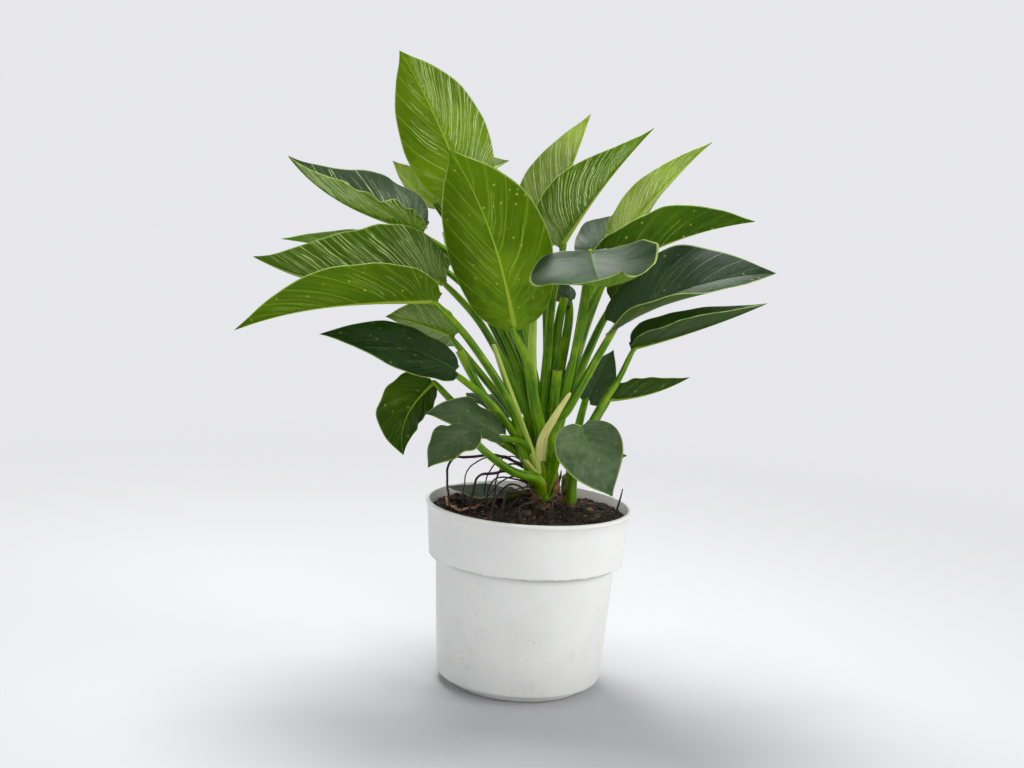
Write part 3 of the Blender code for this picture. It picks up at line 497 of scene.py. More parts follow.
# leaf finishes: colours of each side, the stripes' colour, strength and cover on the two halves, flecks,
# and the colour of the light that comes through
leafFinish = {
    "striped": {
        "upper": ((0.012, 0.038, 0.018), (0.026, 0.068, 0.028)),
        "under": ((0.050, 0.130, 0.002), (0.120, 0.235, 0.004)),
        "stripe": (0.70, 0.80, 0.40), "amount": 1.0, "cover": (0.76, 0.76),
        "spots": 0.15, "through": (0.66, 0.95, 0.02),
    },
    "lined": {
        "upper": ((0.016, 0.040, 0.026), (0.034, 0.072, 0.044)),
        "under": ((0.060, 0.140, 0.003), (0.140, 0.255, 0.008)),
        "stripe": (0.74, 0.83, 0.50), "amount": 1.0, "cover": (0.52, 0.95),
        "spots": 0.15, "through": (0.66, 0.95, 0.02), "upperLines": 0.60, "underLines": 2.2,
    },
    "oneSided": {
        "upper": ((0.018, 0.062, 0.020), (0.034, 0.100, 0.026)),
        "under": ((0.085, 0.175, 0.002), (0.195, 0.320, 0.008)),
        "stripe": (0.70, 0.80, 0.38), "amount": 0.95, "cover": (0.30, 0.88),
        "spots": 0.35, "through": (0.70, 0.95, 0.02),
    },
    "bright": {
        "upper": ((0.024, 0.080, 0.014), (0.045, 0.120, 0.018)),
        "under": ((0.058, 0.140, 0.001), (0.145, 0.262, 0.003)),
        "stripe": (0.46, 0.60, 0.14), "amount": 0.50, "cover": (0.28, 0.34),
        "spots": 1.0, "through": (0.68, 0.95, 0.01),
    },
    "deep": {
        "upper": ((0.014, 0.042, 0.014), (0.028, 0.075, 0.020)),
        "under": ((0.016, 0.046, 0.001), (0.062, 0.132, 0.002)),
        "stripe": (0.40, 0.52, 0.12), "amount": 0.50, "cover": (0.28, 0.28),
        "spots": 1.2, "through": (0.50, 0.82, 0.01),
    },
    "pale": {
        "upper": ((0.160, 0.280, 0.040), (0.340, 0.460, 0.110)),
        "under": ((0.200, 0.320, 0.020), (0.400, 0.530, 0.085)),
        "stripe": (0.76, 0.84, 0.50), "amount": 0.95, "cover": (0.74, 0.74),
        "spots": 0.2, "through": (0.82, 0.95, 0.16),
    },
    "dark": {
        "upper": ((0.009, 0.022, 0.011), (0.022, 0.046, 0.023)),
        "under": ((0.026, 0.066, 0.003), (0.072, 0.140, 0.008)),
        "stripe": (0.20, 0.32, 0.15), "amount": 0.55, "cover": (0.36, 0.36),
        "spots": 0.55, "through": (0.45, 0.80, 0.02),
    },
    "grey": {
        "upper": ((0.050, 0.096, 0.042), (0.170, 0.240, 0.124)),
        "under": ((0.100, 0.190, 0.015), (0.200, 0.310, 0.040)),
        "stripe": (0.26, 0.36, 0.17), "amount": 0.35, "cover": (0.30, 0.30),
        "spots": 0.55, "through": (0.60, 0.88, 0.08), "rim": 0.970,
    },
    "edged": {
        "upper": ((0.016, 0.038, 0.022), (0.045, 0.080, 0.046)),
        "under": ((0.105, 0.205, 0.008), (0.200, 0.330, 0.026)),
        "stripe": (0.28, 0.38, 0.18), "amount": 0.40, "cover": (0.34, 0.34),
        "spots": 0.30, "through": (0.60, 0.88, 0.06), "rim": 0.968,
    },
}
leafSides = {
    "upper": {
        "lines": 0.75, "fibres": 0.16, "veins": 0.22, "rib": 0.30, "ribColour": (0.110, 0.230, 0.060),
        "roughness": (0.38, 0.50), "gloss": 0.24,
    },
    "under": {
        "lines": 1.0, "fibres": 0.30, "veins": 0.50, "rib": 0.85, "ribColour": (0.430, 0.560, 0.060),
        "roughness": (0.42, 0.52), "gloss": 0.10,
    },
}
leafPattern = {
    "lines": 62.0,              # pinstripes from stalk to tip, and the finer ones between them
    "fineLines": 150.0,
    "lineWide": (0.07, 0.17),   # thinnest and thickest, as shares of a line's own room
    "fineWide": (0.10, 0.24),
    "fineLess": 0.05,           # how much less of the blade the finer ones cover
    "fineStrength": 0.50,
    "clear": (0.80, 0.94),      # the fine pattern gives way here, before its lines crowd together in the tip
    "broad": 9.0,               # texture scales from coarse to fine
    "mottle": 26.0,
    "flecks": 170.0,
    "grain": 210.0,
    "pores": 900.0,
    "darker": 0.50,             # broad patches, against the two body colours
    "paler": 1.45,
    "rim": 0.984,               # where the margin's pale edge starts, unless a finish says otherwise
    "rimColour": (0.46, 0.58, 0.16),
    "fleckColour": (0.60, 0.60, 0.12),
    "ribWide": (0.27, 0.10),    # share of the half blade at the stalk and near the tip
    "through": 0.34,            # share of the light that comes through
}


def pinLines(tree, u, v, out, count, widths, cover, seed):
    # thin lines across the blade, each in its own cell, with its own width and its own two ends
    drift = drawnNoise(tree, u, v, (6.0, 4.6), seed, 2.0, 0.5)
    half = maths(tree, "GREATER_THAN", v, 0.5)
    place = plus(tree, times(tree, u, count), times(tree, half, 371.3))
    place = plus(tree, place, times(tree, drift, count * 0.060))
    cell = tree.nodes.new("ShaderNodeTexVoronoi")
    cell.voronoi_dimensions = "1D"
    cell.inputs["Scale"].default_value = 1.0
    cell.inputs["Randomness"].default_value = 0.95
    plug(tree, cell.inputs["W"], place)
    first, second, third = cellChances(tree, cell)
    pinch = drawnNoise(tree, place, v, (0.7, 22.0), seed + 3.0, 2.0, 0.6)
    wide = ramp(tree, second, 0.0, 1.0, widths[0], widths[1])
    wide = times(tree, wide, ramp(tree, pinch, 0.34, 0.62, 0.45, 1.15))
    line = ramp(tree, maths(tree, "DIVIDE", cell.outputs["Distance"], wide), 0.70, 1.0, 1.0, 0.0)
    start = times(tree, third, 0.22)
    line = times(tree, line, ramp(tree, minus(tree, out, start), 0.0, 0.05))
    stop = ramp(tree, first, 0.0, 1.0, 0.70, 1.45)
    line = times(tree, line, ramp(tree, minus(tree, stop, out), 0.0, 0.08))
    # patches of the blade, larger where the finish covers more of that half, keep their lines
    patch = drawnNoise(tree, u, v, (2.6, 1.6), seed + 5, 1.0, 0.5)
    level = plus(tree, times(tree, patch, 0.8), times(tree, first, -0.95))
    need = plus(tree, 0.40 - cover[0], times(tree, half, cover[0] - cover[1]))
    return times(tree, line, ramp(tree, minus(tree, level, need), 0.0, 0.05))


def leafStripes(tree, u, v, reach, finish, wide):
    form = leafPattern
    lineWide = [share * wide for share in form["lineWide"]]
    fineWide = [share * wide for share in form["fineWide"]]
    fineCover = [share - form["fineLess"] for share in finish["cover"]]
    stripes = pinLines(tree, u, v, reach, form["lines"], lineWide, finish["cover"], 1.0)
    fine = pinLines(tree, u, v, reach, form["fineLines"], fineWide, fineCover, 21.0)
    stripes = maths(tree, "MAXIMUM", stripes, times(tree, fine, form["fineStrength"]))
    stripes = times(tree, stripes, ramp(tree, reach, 0.01, 0.06))
    return times(tree, stripes, finish["amount"], clamp=True)


def leafFlecks(tree, place, grain):
    cells = tree.nodes.new("ShaderNodeTexVoronoi")
    cells.inputs["Scale"].default_value = leafPattern["flecks"]
    tree.links.new(place, cells.inputs["Vector"])
    chosen = cellChances(tree, cells)[0]
    spread = plus(tree, cells.outputs["Distance"], times(tree, grain, 0.22))
    return times(tree, ramp(tree, spread, 0.18, 0.34, 1.0, 0.0), ramp(tree, chosen, 0.50, 0.78))


def leafMaterial(kind, sideName):
    form, finish, side = leafPattern, leafFinish[kind], leafSides[sideName]
    material, tree, out = newMaterial("leaf_" + kind + "_" + sideName)
    u, v = uvParts(tree)
    share = maths(tree, "FRACT", u)
    fromRib = times(tree, maths(tree, "ABSOLUTE", minus(tree, v, 0.5)), 2.0)
    reach = maths(tree, "POWER", fromRib, bladeForm["crowding"])
    place = objectPlace(tree)
    clear = ramp(tree, share, *form["clear"], 1.0, 0.0)
    wide = finish.get(sideName + "Lines", side["lines"])
    stripes = times(tree, leafStripes(tree, u, v, reach, finish, wide), clear)
    # green body, mottled, with broad darker and paler patches
    mottle = noiseAt(tree, place, form["mottle"], 4.0, 0.6)
    grain = noiseAt(tree, place, form["grain"], 3.0, 0.6)
    low, high = finish[sideName]
    tone = plus(tree, times(tree, mottle, 0.7), times(tree, grain, 0.3))
    body = mixColour(tree, ramp(tree, tone, 0.39, 0.61), low, high)
    broad = plus(tree, noiseAt(tree, place, form["broad"], 2.0, 0.5), times(tree, fromRib, 0.10))
    darker = tuple(part * form["darker"] for part in low)
    paler = tuple(part * form["paler"] for part in high)
    body = mixColour(tree, ramp(tree, broad, 0.44, 0.68, 0.0, 0.75), body, darker)
    body = mixColour(tree, ramp(tree, broad, 0.34, 0.48, 0.55, 0.0), body, paler)
    # fibres, side veins, stripes and yellow flecks
    lighter = tuple(min(1.0, 0.85 * part * 1.6 + 0.15 * other) for part, other in zip(high, finish["stripe"]))
    fibres = drawnNoise(tree, u, v, (150.0, 3.0), 7.0, 2.0, 0.6)
    faint = times(tree, ramp(tree, fibres, 0.40, 0.72, 0.0, side["fibres"]), clear)
    body = mixColour(tree, faint, body, lighter)
    veins = maths(tree, "FRACT", times(tree, share, bladeForm["sideVeins"]))
    veins = ramp(tree, maths(tree, "ABSOLUTE", minus(tree, veins, 0.5)), 0.0, 0.07, 1.0, 0.0)
    body = mixColour(tree, times(tree, veins, side["veins"]), body, lighter)
    body = mixColour(tree, stripes, body, finish["stripe"])
    flecks = times(tree, leafFlecks(tree, place, grain), finish["spots"] * 0.66, clamp=True)
    body = mixColour(tree, flecks, body, form["fleckColour"])
    # midrib and margin
    ribWidth = ramp(tree, share, 0.0, 0.95, *form["ribWide"])
    rib = ramp(tree, maths(tree, "DIVIDE", fromRib, ribWidth), 0.55, 1.0, 1.0, 0.0)
    body = mixColour(tree, times(tree, rib, side["rib"]), body, side["ribColour"])
    rim = finish.get("rim", form["rim"])
    ragged = plus(tree, reach, times(tree, fibres, 0.5 * (1 - rim)))
    edge = ramp(tree, ragged, rim, rim + 0.25 * (1 - rim) + 0.006)
    body = mixColour(tree, times(tree, edge, 0.7), body, form["rimColour"])
    # raised veins, lines, pores and fibres
    height = plus(tree, times(tree, veins, 0.5), times(tree, stripes, 0.12))
    height = plus(tree, height, times(tree, noiseAt(tree, place, form["pores"], 2.0, 0.5), 0.10))
    height = plus(tree, height, times(tree, fibres, 0.30))
    normal = bumpFrom(tree, times(tree, height, clear), 0.45, 0.0006)
    face = principled(tree, body, ramp(tree, tone, 0.3, 0.7, *side["roughness"]), normal,
                      Specular_IOR_Level=side["gloss"])
    glow = tree.nodes.new("ShaderNodeBsdfTranslucent")
    plug(tree, glow.inputs["Color"], mixColour(tree, 0.55, body, finish["through"]))
    both = tree.nodes.new("ShaderNodeMixShader")
    both.inputs[0].default_value = form["through"]
    tree.links.new(face, both.inputs[1])
    tree.links.new(glow.outputs[0], both.inputs[2])
    tree.links.new(both.outputs[0], out.inputs[0])
    return material


def edgeMaterial():
    material, tree, out = newMaterial("leaf_edge")
    tone = noiseAt(tree, objectPlace(tree), 160.0, 2.0, 0.5)
    colour = mixColour(tree, ramp(tree, tone, 0.35, 0.65), (0.22, 0.36, 0.06), (0.42, 0.52, 0.18))
    tree.links.new(principled(tree, colour, 0.65, Specular_IOR_Level=0.05), out.inputs[0])
    return material


marginSteps = 1000
marginKnots = [(x, y, start) for (x, y), start in zip(bladeForm["outline"], bladeForm["veinStarts"])]
marginTable = smoothPath(marginKnots, marginSteps + 1)


def marginAt(share):
    # a point of the margin, and the place on the midrib where its side vein starts
    return marginTable[min(marginSteps, round(share * marginSteps))]


def flatPoint(share, out):
    # a point of the flat blade on a side vein, out being 0 at the midrib and 1 at the margin
    xEnd, yEnd, xStart = marginAt(share)
    bendX = xStart + bladeForm["veinLean"] * (xEnd - xStart)
    bendY = bladeForm["veinBend"] * yEnd
    x = xStart * (1 - out) ** 2 + bendX * 2 * out * (1 - out) + xEnd * out * out
    y = bendY * 2 * out * (1 - out) + yEnd * out * out
    return x, y


def bladePlacer(leaf, ruffle):
    form = bladeForm
    start = Vector(leaf["base"])
    end = Vector(leaf["tip"])
    along = (end - start).normalized()
    face = Vector(leaf["face"])
    face = (face - along * face.dot(along)).normalized()
    right = along.cross(face)
    bow = leaf.get("bow", (0, 0, 0, 0))
    first = start.lerp(end, 1 / 3) + face * bow[0] * 1.5 + right * bow[1] * 1.5
    second = start.lerp(end, 2 / 3) + face * bow[2] * 1.5 + right * bow[3] * 1.5
    folds = [math.radians(angle) for angle in leaf.get("fold", (10, 10))]
    curls = [math.radians(angle) for angle in leaf.get("curl", (0, 0))]
    twist = math.radians(leaf.get("twist", 0))
    height, count, phase = leaf.get("wave", (0, 1, 0))
    heart = leaf.get("heart", 1.0)
    slim = leaf.get("slim", 0)
    halfWidth = leaf["width"] / 2

    def midrib(x):
        if x < 0:
            return start + (first - start) * 3 * x
        u = 1 - x
        return start * u ** 3 + first * 3 * u * u * x + second * 3 * u * x * x + end * x ** 3

    def place(u, v):
        side = 1 if v < 0.5 else 0
        out = abs(2 * v - 1) ** form["crowding"]
        x, y = flatPoint(u, out)
        if x < form["heartEnd"]:
            reach = heart + (1 - heart) * (1 - min(y / form["heartLobe"], 1))
            x = form["heartEnd"] + (x - form["heartEnd"]) * reach
        here = min(max(x, 0.0), 0.98)
        way = (midrib(here + 0.01) - midrib(here)).normalized()
        up = (face - way * face.dot(way)).normalized()
        over = way.cross(up)
        turn = twist * here
        up, over = (up * math.cos(turn) - over * math.sin(turn), over * math.cos(turn) + up * math.sin(turn))
        y *= 1 - form["shoulder"] * (1 - heart) * max(0.0, 1 - x / form["shoulderEnd"])
        y *= 1 - slim * max(x, 0.0)
        distance = y / form["outlineWidth"] * 2 * halfWidth
        part = distance / halfWidth
        fold, curl = folds[side], curls[side]
        if abs(curl) < smallestCurl:
            across = distance * math.cos(fold)
            rise = distance * math.sin(fold)
        else:
            radius = halfWidth / curl
            across = radius * (math.sin(fold + curl * part) - math.sin(fold))
            rise = -radius * (math.cos(fold + curl * part) - math.cos(fold))
        rise += height * part ** 2 * math.sin(math.tau * count * x + phase + side * form["sidePhase"])
        swing = ruffle[0] * part ** 4 * math.sin(math.tau * ruffle[1] * u + side)
        swing *= min(1.0, (1 - u) * form["ruffleFade"])
        if len(ruffle) > 2:
            spread = math.exp(-((u - form["ruffleMiddle"]) / form["ruffleSpread"]) ** 2)
            swing *= spread if side == ruffle[2] else form["ruffleRest"]
        rise += swing
        veinWave = math.cos(math.tau * (form["sideVeins"] * u - 0.5))
        rise -= form["sideVeinRise"] * veinWave * math.sin(math.pi * out) * (1 - u)
        return midrib(x) + over * across * (2 * side - 1) + up * rise

    return place


def makeLeaf(name, leaf, kind, ruffle, number, finishes):
    form = bladeForm
    place = bladePlacer(leaf, ruffle)
    piece, shares = flatGrid(name + "_blade", form["rows"], form["halfColumns"] * 2)
    shapeGrid(piece, shares, place)
    # the leaf's number goes into its UV map, so that each leaf has its own pattern
    layer = piece.data.uv_layers[0]
    layer.name = "UVMap"
    for loop in layer.data:
        loop.uv = (loop.uv.x * 0.998 + 0.001 + number, loop.uv.y)
    # how far the midrib's ridge stands out below each point, and how thick the blade is there
    ribs = []
    full = piece.vertex_groups.new(name="full")
    for vertex, (u, v) in zip(piece.data.vertices, shares):
        along = marginAt(u)[2]
        wide = form["ribWide"] + (form["ribNarrow"] - form["ribWide"]) * along ** 0.8
        middle = place(u, 0.5) * mm
        distance = (vertex.co - middle).length / mm
        margin = min((place(u, 0.0) * mm - middle).length, (place(u, 1.0) * mm - middle).length) / mm
        wide = max(0.05, min(wide, margin * form["ribShare"]))
        high = form["ribHigh"] * wide / form["ribWide"]
        ribs.append(high * math.sqrt(max(0.0, 1 - (distance / wide) ** 2)))
        full.add([vertex.index], min(1.0, max(form["tipThin"], margin / form["fullWide"])), "REPLACE")
    normals = [vertex.normal.copy() for vertex in piece.data.vertices]
    dress(piece, *finishes[kind], finishes["edge"])
    thicken(piece, form["thick"], vertex_group=full.name, material_offset=1, material_offset_rim=2)
    count = len(ribs)
    for point in range(count):
        rise = ribs[point] * mm
        piece.data.vertices[point].co -= normals[point] * rise * form["ribAbove"]
        piece.data.vertices[count + point].co -= normals[point] * rise
    bpy.ops.object.mode_set(mode="EDIT")
    bpy.ops.mesh.select_all(action="SELECT")
    bpy.ops.mesh.remove_doubles(threshold=0.00001)
    bpy.ops.mesh.normals_make_consistent(inside=False)
    bpy.ops.object.mode_set(mode="OBJECT")
    settle(piece, 50, "leaf", name)


leafFinishes = {kind: (leafMaterial(kind, "upper"), leafMaterial(kind, "under")) for kind in leafFinish}
leafFinishes["edge"] = edgeMaterial()
for number, (name, leaf) in enumerate(blades.items()):
    kind, *ruffle = looks[name]
    makeLeaf(name, leaf, kind, ruffle, number, leafFinishes)
print("leaves done:", len(blades))

# crown, leaf stalks, sheaths and cut stalks
crowns = {
    "main": {"foot": (12, -6, 118), "top": (11, -8, 184), "radius": (8.5, 9.5)},
    "side": {"foot": (33, 6, 122), "top": (32, 5, 178), "radius": (5.5, 6.5)},
}
crownForm = {
    "rings": 60, "sides": 40, "rough": 0.10, "seed": 3.0,
    "scar": 0.35, "scars": 42,          # height of the leaf scars, and how close they stand
    "closeFrom": 0.9, "close": 0.7,     # the top draws in from here, by this share
    "brownEnd": (0.153, 0.166),         # heights in metres between which brown turns to green
}
stalkForm = {
    "sides": 16, "rings": 56, "top": 3.2, "foot": 5.6, "flatten": 0.85, "groove": 0.16,
    "rooted": 24.0, "spread": 4.5,      # how deep a stalk starts in the crown, and how far from its middle
    "slimmed": 0.80,                    # share of its length by which it has its top radius
    "reach": 0.32,                      # share of the blade under which it runs on, along the midrib
    "underBase": 2.8, "underEnd": 2.0,  # how far its middle lies below the blade's base and at its end
    "endFrom": 0.72, "endRadius": 1.4,
}
stubs = {
    "rolled_new_leaf": dict(
        route=((5, -8, 206), (-1, -8, 238), (-5, -8, 271), (-6, -8, 304), (-8, -8, 334)),
        radii=(5.4, 5.6, 6.0, 5.6, 4.0, 1.2), flat=0.75, kind="spear",
    ),
    "pale_sheath": dict(
        route=((1, -26, 195), (-11, -33, 225), (-23, -35, 253), (-36, -38, 285)),
        radii=(5.0, 4.6, 4.4, 4.2, 3.2), flat=0.5, kind="sheath",
    ),
    "cut_stalk_left": dict(
        route=((-7, -14, 206), (-26, -12, 222), (-42, -10, 240), (-54, -10, 258), (-64, -10, 275)),
        radii=(4.8, 4.6, 4.4, 4.4), flat=0.8, kind="cut",
    ),
    "cut_stalk_middle": dict(
        route=((10, 2, 221), (12, 4, 262), (15, 6, 304), (18, 7, 322)),
        radii=(5.0, 4.6, 4.0, 3.6), flat=0.85, kind="cut",
    ),
    "cut_stalk_brown": dict(
        route=((12, -6, 206), (15, -8, 239), (16, -8, 264)),
        radii=(5.2, 5.4, 5.0, 4.6), flat=0.85, kind="cut",
    ),
    "yellow_sheath": dict(
        route=((7, -30, 205), (15, -36, 228), (27, -40, 251)),
        radii=(4.8, 4.9, 3.7, 1.7), flat=0.5, kind="yellow",
    ),
    "small_sheath": dict(
        route=((5, -22, 178), (-5, -32, 193)),
        radii=(3.6, 3.6, 2.6), flat=0.6, kind="sheath",
    ),
}


def tubePiece(name, path, radiusAt, sides, flatten=1.0, groove=0.0, rough=0.0, seed=0.0):
    # a closed tube along the path, u along it and v around it
    rings = len(path) - 1
    ways = []
    sideWay = Vector((0, 0, 1)).cross(path[-1] - path[0])
    if sideWay.length < 0.001:
        sideWay = Vector((1, 0, 0))
    sideWay.normalize()
    for index in range(rings + 1):
        along = (path[min(index + 1, rings)] - path[max(index - 1, 0)]).normalized()
        sideWay = (sideWay - along * sideWay.dot(along)).normalized()
        ways.append((sideWay.copy(), along.cross(sideWay)))

    def place(u, v):
        index = round(u * rings)
        one, other = ways[index]
        angle = math.tau * v
        radius = radiusAt(u)
        if groove:
            radius *= 1 - groove * math.exp(-((math.sin(angle) - 1) / 0.18) ** 2) * min(1.0, u * 2)
        if rough:
            spot = path[index] * 0.16 + (one * math.cos(angle) + other * math.sin(angle)) * 0.9
            radius *= 1 + rough * noise.noise(spot + Vector((seed, 0, 0)))
        return path[index] + (one * math.cos(angle) + other * math.sin(angle) * flatten) * radius

    return gridPiece(name, rings, sides, place, tube=True)


def stalkMaterial(name, low, high, tipColour, gloss):
    material, tree, out = newMaterial(name)
    u, v = uvParts(tree)
    place = objectPlace(tree)
    streaks = drawnNoise(tree, u, v, (3.0, 16.0), 0.0, 4.0, 0.6)
    mottle = noiseAt(tree, place, 55.0, 4.0, 0.6)
    colour = mixColour(tree, ramp(tree, streaks, 0.35, 0.65), low, high)
    colour = mixColour(tree, times(tree, ramp(tree, mottle, 0.45, 0.75), 0.45), colour, tipColour)
    colour = mixColour(tree, ramp(tree, u, 0.80, 1.0, 0.0, 0.55), colour, tipColour)
    specks = noiseAt(tree, place, 420.0, 2.0, 0.5)
    colour = mixColour(tree, ramp(tree, specks, 0.70, 0.76, 0.0, 0.5), colour, (0.10, 0.07, 0.03))
    height = plus(tree, streaks, times(tree, noiseAt(tree, place, 700.0, 2.0, 0.5), 0.3))
    roughness = ramp(tree, mottle, 0.3, 0.7, gloss, gloss + 0.14)
    shader = principled(tree, colour, roughness, bumpFrom(tree, height, 0.25, 0.0005),
                        Specular_IOR_Level=0.20, Subsurface_Weight=0.06, Subsurface_Scale=0.003)
    tree.links.new(shader, out.inputs[0])
    return material


def brownMaterial(name, low, high, scale=260.0):
    material, tree, out = newMaterial(name)
    place = objectPlace(tree)
    tone = noiseAt(tree, place, scale, 6.0, 0.65)
    colour = mixColour(tree, ramp(tree, tone, 0.30, 0.70), low, high)
    fibre = noiseAt(tree, place, scale * 4, 3.0, 0.6)
    height = plus(tree, tone, times(tree, fibre, 0.4))
    roughness = ramp(tree, tone, 0.3, 0.7, 0.72, 0.95)
    tree.links.new(principled(tree, colour, roughness, bumpFrom(tree, height, 0.6, 0.001)), out.inputs[0])
    return material


# darkest and lightest colour, colour towards the tip, roughness
stalkFinish = {
    "stalk_green": ((0.030, 0.105, 0.0005), (0.150, 0.320, 0.001), (0.330, 0.490, 0.006), 0.24),
    "sheath_pale": ((0.250, 0.390, 0.030), (0.500, 0.600, 0.130), (0.560, 0.600, 0.180), 0.40),
    "sheath_yellow": ((0.500, 0.500, 0.130), (0.740, 0.700, 0.300), (0.640, 0.520, 0.220), 0.50),
    "new_leaf_pale": ((0.250, 0.430, 0.020), (0.460, 0.620, 0.080), (0.580, 0.700, 0.160), 0.30),
}
stalkLooks = {name: stalkMaterial(name, *finish) for name, finish in stalkFinish.items()}
cutBrown = brownMaterial("cut_end_brown", (0.110, 0.062, 0.026), (0.330, 0.215, 0.110))
stubFinish = {
    "spear": "new_leaf_pale", "sheath": "sheath_pale", "yellow": "sheath_yellow", "cut": "stalk_green",
}
cutEnd = {"near": 3.0, "ring": 0.6, "slope": 0.3, "deep": 0.8}


def stalkFoot(crown, first):
    # where a stalk starts inside the crown, on the side that its route leaves from
    foot = Vector(crown["top"]) - Vector((0, 0, stalkForm["rooted"]))
    way = Vector((first[0] - foot.x, first[1] - foot.y, 0))
    return foot + way * min(1, stalkForm["spread"] / max(way.length, 0.1))


def stalkPiece(name, leaf, crown):
    form = stalkForm
    thick = 0.5 + 0.5 * crown["radius"][1] / crowns["main"]["radius"][1]
    foot = stalkFoot(crown, leaf["stalk"][0])
    swell = leaf.get("thick", 1) - 1
    base = Vector(leaf["base"])
    face = Vector(leaf["face"])
    along = (Vector(leaf["tip"]) - base).normalized()
    face = (face - along * face.dot(along)).normalized()
    # the stalk runs on into the midrib's ridge under the blade
    end = bladePlacer(leaf, (0, 1))(form["reach"], 0.5) - face * form["underEnd"]
    path = smoothPath([foot, *leaf["stalk"], base - face * form["underBase"], end], form["rings"] + 1)

    def radiusAt(u):
        slimmed = min(1.0, u / form["slimmed"])
        radius = form["foot"] + (form["top"] - form["foot"]) * slimmed
        radius = radius * thick * (1 + swell * (1 - slimmed))
        if u > form["endFrom"]:
            radius += (form["endRadius"] - radius) * ((u - form["endFrom"]) / (1 - form["endFrom"])) ** 1.2
        return radius

    piece = tubePiece(name + "_stalk", path, radiusAt, form["sides"], form["flatten"], form["groove"])
    dress(piece, stalkLooks["stalk_green"])
    return piece


def stubPiece(name, crown, route, radii, flat, kind):
    form = stalkForm
    path = smoothPath([stalkFoot(crown, route[0]), *route], form["rings"] + 1)
    hollow = kind in ("sheath", "yellow")

    def radiusAt(u):
        place = (len(radii) - 1) * u
        before = min(int(place), len(radii) - 2)
        radius = radii[before] + (radii[before + 1] - radii[before]) * (place - before)
        if kind == "spear" and u > 0.93:
            radius *= 1 - 0.6 * ((u - 0.93) / 0.07) ** 1.5
        if hollow and u > 0.95:
            radius *= 1 - 0.25 * ((u - 0.95) / 0.05) ** 2
        return radius

    piece = tubePiece(name, path, radiusAt, form["sides"], flat, 0.34 if hollow else 0.12)
    dress(piece, stalkLooks[stubFinish[kind]])
    if kind == "cut":
        cutStalkEnd(piece, path[-1] * mm)
    return piece


def cutStalkEnd(piece, tip):
    # the cut face is dry and brown, with a ring around a sunk middle
    dress(piece, cutBrown)
    near = cutEnd["near"] * mm
    pick(piece)
    bpy.ops.object.mode_set(mode="EDIT")
    bpy.ops.mesh.select_all(action="DESELECT")
    bpy.ops.object.mode_set(mode="OBJECT")
    for face in piece.data.polygons:
        if len(face.vertices) > 4 and (face.center - tip).length < near:
            face.select = True
            face.material_index = 1
    bpy.ops.object.mode_set(mode="EDIT")
    bpy.ops.mesh.inset(thickness=cutEnd["ring"] * mm)
    bpy.ops.mesh.inset(thickness=cutEnd["slope"] * mm, depth=-cutEnd["deep"] * mm)
    bpy.ops.object.mode_set(mode="OBJECT")
    for face in piece.data.polygons:
        if (face.center - tip).length < near:
            face.material_index = 1


def crownPiece(name, crown):
    form = crownForm
    foot, top = Vector(crown["foot"]), Vector(crown["top"])
    path = smoothPath([foot, foot.lerp(top, 0.5), top], form["rings"] + 1)
    low, high = crown["radius"]

    def radiusAt(u):
        scars = form["scar"] * math.sin(u * form["scars"]) ** 6
        close = 1 - max(0.0, (u - form["closeFrom"]) / (1 - form["closeFrom"])) ** 2 * form["close"]
        return (low + (high - low) * u + scars) * close

    return tubePiece(name, path, radiusAt, form["sides"], rough=form["rough"], seed=form["seed"])


def crownMaterial():
    # green stalk bases that turn brown and fibrous where they meet the soil
    material, tree, out = newMaterial("crown_green")
    place = objectPlace(tree)
    tone = noiseAt(tree, place, 110.0, 5.0, 0.65)
    green = mixColour(tree, ramp(tree, tone, 0.35, 0.65), (0.070, 0.150, 0.014), (0.240, 0.330, 0.060))
    brown = mixColour(tree, ramp(tree, tone, 0.35, 0.65), (0.045, 0.026, 0.012), (0.210, 0.130, 0.055))
    level = plus(tree, splitPlace(tree, place)[2], times(tree, minus(tree, tone, 0.5), 0.045))
    colour = mixColour(tree, ramp(tree, level, *crownForm["brownEnd"]), brown, green)
    roughness = ramp(tree, level, *crownForm["brownEnd"], 0.85, 0.40)
    shader = principled(tree, colour, roughness, bumpFrom(tree, tone, 0.5, 0.001))
    tree.links.new(shader, out.inputs[0])
    return material


crownGreen = crownMaterial()
for crownName, crown in crowns.items():
    pieces = []
    for name, leaf in blades.items():
        if leaf.get("crown", "main") == crownName:
            pieces.append(stalkPiece(name, leaf, crown))
    settle(joinPieces("stalks_" + crownName, pieces), 50, "stalk", "stems_" + crownName)
    base = crownPiece("crown_" + crownName, crown)
    dress(base, crownGreen)
    settle(base, 60, "stalk", "stems_" + crownName)
for name, stub in stubs.items():
    settle(stubPiece(name, crowns["main"], **stub), 50, "stalk", "stems_main")
print("stalks done")

# soil
pot = {
    "height": 152.0, "rim": 85.0, "bandBottom": 80.2, "bandHeight": 44.0, "bodyTop": 74.0,
    "bodyBottom": 68.0, "step": 4.0, "foot": 56.0, "footHeight": 7.5, "wall": 1.8, "floor": 3.0,
    "bead": 1.4, "sides": 144, "holes": 6, "holeRadius": 5.0, "holeCircle": 36.0,
}
stepHeight = pot["height"] - pot["bandHeight"] - pot["step"]
soil = {
    "edge": 141.0, "clear": 0.6, "rows": 70, "sides": 200,
    "mound": 9.0, "middle": (10, 5), "moundRadius": 62,
    "heap": 3.2, "heapFrom": 58, "heapWide": 14,    # heaped against the pot's wall
    "lump": 2.2, "crust": 1.5, "grain": 0.9,
    "topShare": 0.84, "fade": 3,                    # share of the rows in the top, smooth margin by the wall
}


